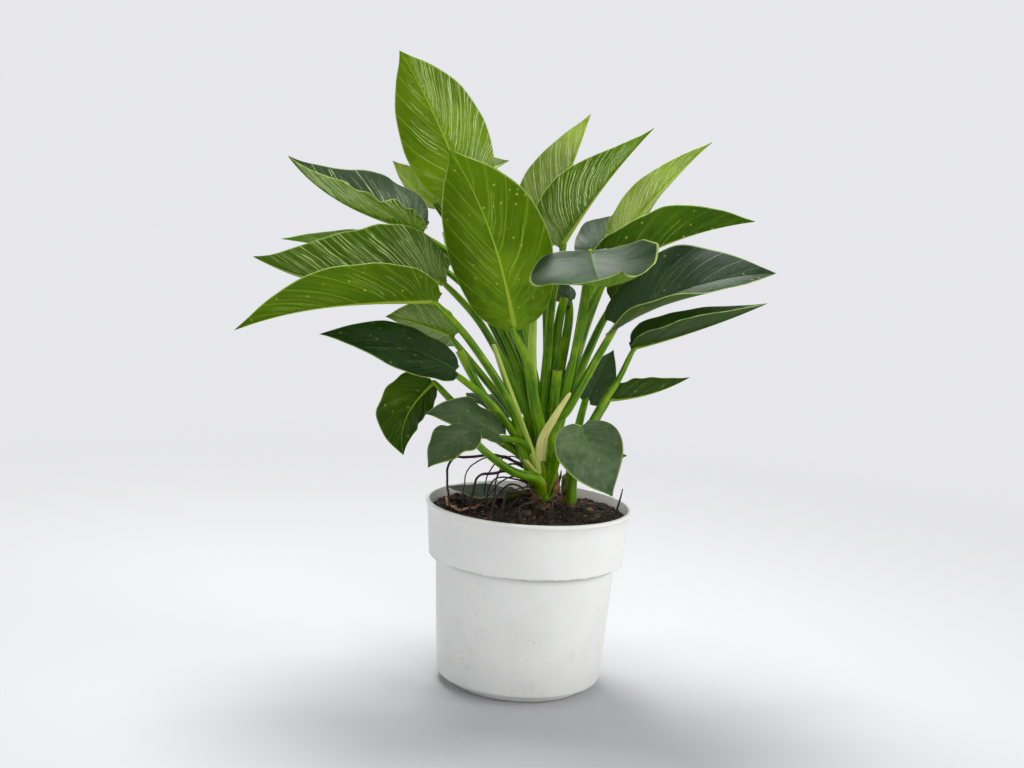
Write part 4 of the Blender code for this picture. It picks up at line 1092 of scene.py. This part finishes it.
def innerRadius(height):
    if height < stepHeight:
        share = (height - pot["footHeight"]) / (stepHeight - pot["footHeight"])
        return pot["bodyBottom"] + (pot["bodyTop"] - pot["bodyBottom"]) * share - pot["wall"]
    share = (height - stepHeight - pot["step"]) / pot["bandHeight"]
    return pot["bandBottom"] + (pot["rim"] - pot["bead"] - pot["bandBottom"]) * max(share, 0) - pot["wall"]


def soilHeight(x, y, fine=True):
    spread = math.hypot(x - soil["middle"][0], y - soil["middle"][1]) / soil["moundRadius"]
    height = soil["edge"] + soil["mound"] * max(0.0, 1 - spread * spread)
    height += soil["heap"] * min(1.0, max(0.0, (math.hypot(x, y) - soil["heapFrom"]) / soil["heapWide"]))
    height += soil["lump"] * noise.noise(Vector((x / 14, y / 14, 0.0)))
    if fine:
        height += soil["crust"] * noise.noise(Vector((x / 5, y / 5, 4.0)))
        height += soil["grain"] * abs(noise.noise(Vector((x / 2.2, y / 2.2, 8.0))))
    return height


def soilPlace(u, v):
    # first the top from the middle out, then the wall down inside the pot
    angle = math.tau * v
    edge = innerRadius(soil["edge"]) - soil["clear"]
    if u < soil["topShare"]:
        radius = edge * u / soil["topShare"]
        x, y = radius * math.cos(angle), radius * math.sin(angle)
        fade = min(1.0, (edge - radius) / soil["fade"])
        low = soilHeight(x, y, False)
        return Vector((x, y, low + (soilHeight(x, y) - low) * fade))
    footRadius = pot["foot"] - pot["wall"] - 1.3
    wall = [
        (edge, soil["edge"] + 2),
        (innerRadius(stepHeight + 5) - soil["clear"], stepHeight + 5),
        (innerRadius(stepHeight - 0.1) - soil["clear"], stepHeight + 1.6),
        (innerRadius(11) - soil["clear"], 11),
        (footRadius, pot["footHeight"]),
        (footRadius, pot["floor"] + 0.3),
    ]
    place = (u - soil["topShare"]) / (1 - soil["topShare"]) * (len(wall) - 1)
    index = min(int(place), len(wall) - 2)
    t = place - index
    radius = wall[index][0] * (1 - t) + wall[index + 1][0] * t
    height = wall[index][1] * (1 - t) + wall[index + 1][1] * t
    return Vector((radius * math.cos(angle), radius * math.sin(angle), height))


def soilMaterial():
    material, tree, out = newMaterial("soil_dark")
    place = objectPlace(tree)
    tone = noiseAt(tree, place, 190.0, 6.0, 0.7)
    coarse = noiseAt(tree, place, 45.0, 3.0, 0.6)
    colour = mixColour(tree, ramp(tree, tone, 0.32, 0.70), (0.008, 0.006, 0.005), (0.044, 0.029, 0.021))
    colour = mixColour(tree, ramp(tree, coarse, 0.5, 0.75, 0.0, 0.5), colour, (0.068, 0.043, 0.028))
    flecks = noiseAt(tree, place, 620.0, 2.0, 0.5)
    colour = mixColour(tree, ramp(tree, flecks, 0.68, 0.73, 0.0, 0.7), colour, (0.26, 0.17, 0.09))
    height = plus(tree, tone, times(tree, flecks, 0.5))
    roughness = ramp(tree, tone, 0.3, 0.7, 0.78, 0.98)
    tree.links.new(principled(tree, colour, roughness, bumpFrom(tree, height, 0.9, 0.0016),
                              Specular_IOR_Level=0.3), out.inputs[0])
    return material


soilDark = soilMaterial()
soilBody = gridPiece("soil_body", soil["rows"], soil["sides"], soilPlace, tube=True)
dress(soilBody, soilDark)
settle(soilBody, 70, "soil", "soil")

crumbTan = brownMaterial("crumb_tan", (0.120, 0.070, 0.035), (0.300, 0.190, 0.100), 300.0)
crumbBrown = brownMaterial("crumb_brown", (0.030, 0.018, 0.011), (0.100, 0.058, 0.034), 300.0)
# loose bits: how many, how round, how high above the soil, how clear of the wall,
# least size, what chance adds to it and its power, and their proportions
looseBits = {
    "soil_crumbs": dict(
        count=3600, seed=11, level=1, lift=0.1, rim=1.5, size=(0.5, 1.9, 3), long=1, wide=(0.6, 1.0),
        high=(0.5, 0.9), materials=(soilDark, soilDark, crumbBrown, soilDark, crumbBrown),
    ),
    "soil_clods": dict(
        count=240, seed=12, level=2, lift=-0.2, rim=5.0, size=(1.8, 2.8, 2), long=1, wide=(0.6, 1.0),
        high=(0.45, 0.8), materials=(soilDark, crumbBrown, soilDark),
    ),
    "bark_chips": dict(
        count=260, seed=13, level=1, lift=0.6, rim=4.0, size=(1.0, 2.4, 2), long=1.6, wide=(0.25, 0.6),
        high=(0.12, 0.3), materials=(crumbBrown, crumbTan, crumbBrown, crumbBrown),
    ),
}


def lumpShape(level):
    deselectAll()
    bpy.ops.mesh.primitive_ico_sphere_add(subdivisions=level, radius=1)
    lump = bpy.context.object
    points = [tuple(vertex.co) for vertex in lump.data.vertices]
    faces = [tuple(face.vertices) for face in lump.data.polygons]
    bpy.data.objects.remove(lump)
    return points, faces


def soilSpot(rng, lift, rim):
    edge = innerRadius(soil["edge"]) - soil["clear"] - rim
    angle = rng.uniform(0, math.tau)
    radius = edge * math.sqrt(rng.random())
    x, y = radius * math.cos(angle), radius * math.sin(angle)
    return Vector((x, y, soilHeight(x, y) + lift))


def scatter(name, bits):
    # each bit is a rough lump, turned, sized and set down in the soil
    rng = random.Random(bits["seed"])
    lumpPoints, lumpFaces = lumpShape(bits["level"])
    least, more, power = bits["size"]
    points, faces, tones = [], [], []
    for _ in range(bits["count"]):
        spot = soilSpot(rng, bits["lift"], bits["rim"])
        size = least + more * rng.random() ** power
        turn = rng.uniform(0, math.tau)
        lump = rng.uniform(0, 50)
        squeeze = (bits["long"], rng.uniform(*bits["wide"]), rng.uniform(*bits["high"]))
        turned = Matrix.Rotation(turn, 3, "Z") @ Matrix.Rotation(rng.uniform(-0.6, 0.6), 3, "X")
        base = len(points)
        for corner in lumpPoints:
            way = Vector(corner)
            way *= 1 + 0.45 * noise.noise(way * 1.3 + Vector((lump, 0, 0)))
            way = Vector((way.x * squeeze[0], way.y * squeeze[1], way.z * squeeze[2]))
            points.append((spot + turned @ way * size) * mm)
        faces += [tuple(base + corner for corner in face) for face in lumpFaces]
        tones += [rng.randrange(len(bits["materials"]))] * len(lumpFaces)
    mesh = bpy.data.meshes.new(name)
    mesh.from_pydata(points, [], faces)
    piece = bpy.data.objects.new(name, mesh)
    bpy.context.scene.collection.objects.link(piece)
    dress(piece, *bits["materials"])
    mesh.polygons.foreach_set("material_index", tones)
    settle(piece, 60, "soil")


for name, bits in looseBits.items():
    scatter(name, bits)
print("soil done")


# pot
def potMaterial():
    material, tree, out = newMaterial("pot_white")
    place = objectPlace(tree)
    x, _, z = splitPlace(tree, place)
    broad = noiseAt(tree, place, 14.0, 4.0, 0.6)
    colour = mixColour(tree, ramp(tree, broad, 0.35, 0.70), (0.83, 0.83, 0.805), (0.78, 0.78, 0.755))
    # dust and soil smears, thicker low down
    low = ramp(tree, z, 0.0, 0.10, 1.0, 0.25)
    smears = noiseAt(tree, place, 55.0, 6.0, 0.72)
    dirt = times(tree, ramp(tree, smears, 0.52, 0.78), low)
    colour = mixColour(tree, times(tree, dirt, 0.22), colour, (0.36, 0.33, 0.28))
    # dark specks in patches
    specks = noiseAt(tree, place, 520.0, 3.0, 0.55)
    patch = ramp(tree, noiseAt(tree, place, 24.0, 2.0, 0.5), 0.42, 0.62)
    dots = times(tree, ramp(tree, specks, 0.69, 0.72), patch)
    colour = mixColour(tree, times(tree, dots, 0.8), colour, (0.10, 0.08, 0.06))
    # painted shade: a darker line close under the band, where its overhang shades the body, broken into
    # patches by the smear pattern
    bandShadeLine = (pot["height"] - pot["bandHeight"] - 1.5) * mm
    under = ramp(tree, maths(tree, "ABSOLUTE", minus(tree, z, bandShadeLine)), 0.0006, 0.0024, 0.55, 0.0)
    colour = mixColour(tree, times(tree, under, ramp(tree, smears, 0.35, 0.60)), colour, (0.30, 0.28, 0.24))
    scuffs = drawnNoise(tree, x, z, (60.0, 700.0), 0.0, 3.0, 0.6)
    height = plus(tree, times(tree, scuffs, 0.25), times(tree, smears, 0.5))
    shader = principled(tree, colour, ramp(tree, scuffs, 0.3, 0.7, 0.40, 0.56),
                        bumpFrom(tree, height, 0.10, 0.0006), Specular_IOR_Level=0.5,
                        Subsurface_Weight=0.08, Subsurface_Scale=0.004)
    tree.links.new(shader, out.inputs[0])
    return material


def potProfile():
    # half of the pot's section, from the middle of the base round the rim to the middle of the floor
    band = pot["height"] - pot["bandHeight"]
    bead = pot["rim"] - pot["bead"]
    inside = bead - pot["wall"]
    top = pot["height"]
    foot, footTop = pot["foot"], pot["footHeight"]
    low, high, out = pot["bodyBottom"], pot["bodyTop"], pot["bandBottom"]
    return [
        (0, 0), (foot - 8, 0), (foot - 1.2, 0), (foot - 0.3, 0.3), (foot, 1.1),
        (foot + 1, footTop - 3), (foot + 2.2, footTop - 1.9), (low - 4, footTop - 1),
        (low - 1.4, footTop - 0.3), (low, footTop + 2), (low + 2, 38), (low + 4, 70),
        (high - 0.2, stepHeight - 3), (high + 0.3, stepHeight - 0.6), (high + 1.2, stepHeight + 0.6),
        (out - 1.6, band - 1.6), (out - 0.5, band - 1.2), (out + 0.1, band - 0.3), (out, band + 1.2),
        (out + 1.3, band + 16), (bead - 0.9, top - 12), (bead - 0.1, top - 4.4), (bead + 0.5, top - 3.6),
        (pot["rim"] - 0.2, top - 2.6), (pot["rim"], top - 1.7), (pot["rim"] - 0.4, top - 0.6),
        (pot["rim"] - 1.3, top), (inside + 0.9, top), (inside + 0.2, top - 0.3), (inside, top - 1.0),
        (innerRadius(band + 10), band + 10), (innerRadius(band), band),
        (innerRadius(stepHeight - 0.01), stepHeight + 1), (innerRadius(footTop + 3), footTop + 3),
        (foot - pot["wall"], footTop), (foot - pot["wall"] - 1, pot["floor"]), (0, pot["floor"]),
    ]


def makePot():
    profile = potProfile()

    def place(u, v):
        radius, height = profile[round(u * (len(profile) - 1))]
        angle = math.tau * v
        return Vector((radius * math.cos(angle), radius * math.sin(angle), height))

    shell = gridPiece("pot_shell", len(profile) - 1, pot["sides"], place, tube=True)
    circle = pot["holeCircle"] * mm
    for hole in range(pot["holes"]):
        angle = math.tau * hole / pot["holes"]
        deselectAll()
        bpy.ops.mesh.primitive_cylinder_add(
            vertices=40, radius=pot["holeRadius"] * mm, depth=0.012,
            location=(circle * math.cos(angle), circle * math.sin(angle), 0),
        )
        drill = bpy.context.object
        pick(shell)
        cut = shell.modifiers.new("drain", "BOOLEAN")
        cut.operation = "DIFFERENCE"
        cut.object = drill
        bpy.ops.object.modifier_apply(modifier=cut.name)
        bpy.data.objects.remove(drill)
    shell.data.materials.clear()
    dress(shell, potMaterial())
    settle(shell, 34, "pot_white", "pot")


makePot()
print("pot done")

# aerial roots, twig, dry leaf
# each root: where it leaves the crown (angle, height), and its route to the soil
roots = {
    "root_1": ((148, 175), ((-12, 2, 184), (-28, 0, 189), (-50, -6, 188), (-64, -12, 186),
                            (-68, -18, 172), (-62, -20, 0))),
    "root_2": ((228, 161), ((-12, -32, 167), (-26, -40, 163), (-33, -42, 0))),
    "root_3": ((176, 166), ((-16, -3, 177), (-28, -9, 176), (-44, -4, 169), (-48, -18, 0))),
    "root_4": ((246, 157), ((1, -31, 158), (-7, -37, 155), (-5, -43, 0))),
    "root_5": ((205, 158), ((-10, -18, 163), (-19, -26, 160), (-21, -32, 0))),
}
fineRoots = [
    ((196, 176), ((-14, -14, 186), (-26, -20, 178), (-30, -24, 0)), 0.75),
    ((188, 166), ((-12, -8, 172), (-30, -10, 170), (-36, -14, 0)), 0.7),
    ((220, 168), ((-10, -20, 176), (-24, -28, 172), (-50, -32, 0)), 0.7),
    ((170, 160), ((-14, 0, 166), (-24, 2, 158), (-27, 2, 0)), 0.8),
    ((236, 166), ((-2, -26, 170), (-18, -34, 164), (-25, -38, 0)), 0.6),
    ((200, 154), ((-6, -14, 158), (-14, -18, 153), (-17, -19, 0)), 0.9),
    ((210, 180), ((-20, -20, 192), (-40, -24, 190), (-52, -20, 176), (-54, -16, 0)), 0.6),
    ((180, 178), ((-16, -4, 190), (-34, -2, 176), (-38, 2, 0)), 0.6),
    ((300, 156), ((18, -24, 158), (20, -27, 152), (21, -28, 0)), 0.8),
    ((330, 152), ((26, -16, 154), (32, -20, 149), (33, -21, 0)), 0.7),
]
rootForm = {
    "radius": 1.15, "sides": 10, "rows": 64, "fineRows": 48, "rough": 0.35,
    "sunk": 1.0, "buried": 1.5,         # how deep a root starts in the crown and ends in the soil
    "wander": 0.9, "wanderScale": 0.11,
}
rootDark = brownMaterial("root_dark", (0.010, 0.006, 0.004), (0.060, 0.032, 0.019), 240.0)
dryBrown = brownMaterial("dry_brown", (0.150, 0.075, 0.032), (0.420, 0.255, 0.125), 180.0)


def rootPath(angle, height, route, count):
    crown = crowns["main"]
    low, high = Vector(crown["foot"]), Vector(crown["top"])
    share = (height - low.z) / (high.z - low.z)
    least, most = crown["radius"]
    reach = least + (most - least) * share - rootForm["sunk"]
    turn = math.radians(angle)
    start = low.lerp(high, share) + Vector((math.cos(turn), math.sin(turn), 0)) * reach
    x, y, _ = route[-1]
    ends = (x, y, soilHeight(x, y) - rootForm["buried"])
    return smoothPath([start, *route[:-1], ends], count)


def rootPiece(name, path, radius, seed):
    shifts = Vector((seed, 0, 0)), Vector((0, seed, 0)), Vector((0, 0, seed))
    wobble = []
    for point in path:
        spot = point * rootForm["wanderScale"]
        way = Vector([noise.noise(spot + shift) for shift in shifts])
        wobble.append(point + way * rootForm["wander"])
    piece = tubePiece(name, wobble, lambda u: radius * (1.15 - 0.35 * u), rootForm["sides"],
                      rough=rootForm["rough"], seed=seed)
    dress(piece, rootDark)
    return piece


for number, (name, ((angle, height), route)) in enumerate(roots.items()):
    path = rootPath(angle, height, route, rootForm["rows"])
    settle(rootPiece(name + "_skin", path, rootForm["radius"], number * 7.0), 70, "root", name)

threads = []
for number, ((angle, height), route, radius) in enumerate(fineRoots):
    path = rootPath(angle, height, route, rootForm["fineRows"])
    threads.append(rootPiece("fine_root", path, radius, 50 + number * 5.0))
settle(joinPieces("fine_roots", threads), 70, "root")

twig = {"path": ((72, 8, 142.5), (75, 10, 155), (77, 11, 166)), "radius": 0.9, "rows": 30, "rough": 0.4}
twigPiece = tubePiece("twig_skin", smoothPath(twig["path"], twig["rows"]),
                      lambda u: twig["radius"] * (1.1 - 0.5 * u), 10, rough=twig["rough"], seed=4.0)
dress(twigPiece, rootDark)
settle(twigPiece, 60, "dry", "twig")

dryLeaf = {
    "route": ((-70, 20), (-62, -8), (-44, -6), (-30, 6)), "width": 6.0, "thick": 0.5, "rows": 60,
    "columns": 10, "lift": 1.8, "cup": 0.8, "ripple": 1.5, "twist": 0.3,
}


def makeDryLeaf():
    rows = dryLeaf["rows"]
    path = smoothPath([(x, y, 0) for x, y in dryLeaf["route"]], rows + 1)

    def place(u, v):
        index = round(u * rows)
        along = path[min(index + 1, rows)] - path[max(index - 1, 0)]
        side = Vector((-along.y, along.x, 0)).normalized()
        half = dryLeaf["width"] / 2 * math.sin(math.pi * (u * 11 + 0.6) / 12.2)
        lift = soilHeight(path[index].x, path[index].y, False) + dryLeaf["lift"]
        out = 2 * v - 1
        rise = dryLeaf["cup"] * out * out + dryLeaf["ripple"] * math.sin(u * 14.3) ** 2
        rise += dryLeaf["twist"] * math.sin(u * 40 + out * 2)
        return path[index] + side * half * out + Vector((0, 0, lift + rise))

    piece = gridPiece("dry_leaf_skin", rows, dryLeaf["columns"], place)
    dress(piece, dryBrown)
    thicken(piece, dryLeaf["thick"])
    settle(piece, 50, "dry", "dry_leaf")


makeDryLeaf()

# dry brown scraps of old sheath that cling around the crown
scraps = {
    "count": 13, "rows": 12, "columns": 4, "wide": 6.5, "thick": 0.35,
    "from": (151, 168), "long": (12, 30), "lean": (0.5, 4.5), "sway": 0.5, "turn": 0.3,
    "middle": (11.5, -7), "radius": 14.0, "ripple": 0.5, "ragged": 0.8,
}
sheathBrown = brownMaterial("old_sheath_brown", (0.060, 0.022, 0.010), (0.260, 0.120, 0.045), 210.0)


def makeScraps():
    chance = random.Random(41)
    pieces = []
    for index in range(scraps["count"]):
        turn = math.tau * index / scraps["count"] + chance.uniform(-scraps["turn"], scraps["turn"])
        low = chance.uniform(*scraps["from"])
        high = low + chance.uniform(*scraps["long"])
        lean = chance.uniform(*scraps["lean"])
        sway = chance.uniform(-scraps["sway"], scraps["sway"])

        def place(u, v):
            radius = scraps["radius"] + lean * u * u + scraps["ripple"] * math.sin(u * 9 + index)
            narrow = (1 - 0.85 * u ** 1.5) * (0.7 + 0.3 * math.sin(math.pi * u))
            angle = turn + (v - 0.5) * scraps["wide"] * narrow / radius + sway * u * u
            height = low + (high - low) * u + scraps["ragged"] * math.sin(v * 7 + index)
            x, y = scraps["middle"]
            return Vector((x + radius * math.cos(angle), y + radius * math.sin(angle), height))

        piece = gridPiece("scrap", scraps["rows"], scraps["columns"], place)
        dress(piece, sheathBrown)
        thicken(piece, scraps["thick"])
        pieces.append(piece)
    settle(joinPieces("old_sheath_scraps", pieces), 50, "dry")


makeScraps()
print("roots and dry bits done")

# floor, light and camera
stage = {
    "floor": (0.52, 0.52, 0.53), "radius": 12.0, "below": 0.0005, "fade": (0.25, 1.3),
    "far": (0.800, 0.800, 0.835), "top": (0.68, 0.69, 0.70), "topPower": 0.42, "rise": (0.14, 0.50),
}
deselectAll()
bpy.ops.mesh.primitive_circle_add(vertices=96, radius=stage["radius"], fill_type="NGON",
                                  location=(0, 0, -stage["below"]))
floor = bpy.context.object
floor.name = "floor"
# the far floor fades into the pale sky, so that no horizon shows
material, tree, out = newMaterial("floor_pale")
away = tree.nodes.new("ShaderNodeVectorMath")
away.operation = "LENGTH"
tree.links.new(objectPlace(tree), away.inputs[0])
far = tree.nodes.new("ShaderNodeEmission")
plug(tree, far.inputs["Color"], stage["far"])
fade = tree.nodes.new("ShaderNodeMixShader")
plug(tree, fade.inputs[0], ramp(tree, away.outputs["Value"], *stage["fade"]))
tree.links.new(principled(tree, stage["floor"], 0.8), fade.inputs[1])
tree.links.new(far.outputs[0], fade.inputs[2])
tree.links.new(fade.outputs[0], out.inputs[0])
dress(floor, material)

world = bpy.data.worlds.new("soft_sky")
world.use_nodes = True
tree = world.node_tree
height = splitPlace(tree, tree.nodes.new("ShaderNodeTexCoord").outputs["Generated"])[2]
top = tuple(part * stage["topPower"] for part in stage["top"])
plug(tree, tree.nodes["Background"].inputs["Color"],
     mixColour(tree, ramp(tree, height, *stage["rise"]), stage["far"], top))
bpy.context.scene.world = world

lights = {
    "overhead": {"place": (-0.25, 0.45, 1.7), "size": 0.8, "power": 40},
    "front": {"place": (0.5, -1.8, 1.5), "size": 1.2, "power": 15},
    "side": {"place": (1.8, -0.4, 0.9), "size": 1.1, "power": 15},
}
lightAim = Vector((0, 0, 0.28))
for name, light in lights.items():
    data = bpy.data.lights.new(name, "AREA")
    data.energy = light["power"]
    data.size = light["size"]
    lamp = bpy.data.objects.new(name, data)
    bpy.context.scene.collection.objects.link(lamp)
    lamp.location = light["place"]
    lamp.rotation_euler = (lightAim - lamp.location).to_track_quat("-Z", "Y").to_euler()

viewer = {
    "place": (0.0, -1.28735, 0.43392),
    "right": (0.9976557, 0.0247291, 0.0638090),
    "up": (-0.0666666, 0.1407035, 0.9878047),
    "back": (0.0154493, -0.9897429, 0.1420222),
    "lens": 56.0,
    "sensor": 36.0,
}
cameraData = bpy.data.cameras.new("viewer")
cameraData.lens = viewer["lens"]
cameraData.sensor_width = viewer["sensor"]
camera = bpy.data.objects.new("viewer", cameraData)
bpy.context.scene.collection.objects.link(camera)
turn = Matrix((viewer["right"], viewer["up"], viewer["back"])).transposed()
camera.matrix_world = Matrix.Translation(viewer["place"]) @ turn.to_4x4()
bpy.context.scene.camera = camera
bpy.context.scene.view_settings.view_transform = "Standard"
print("stage done")
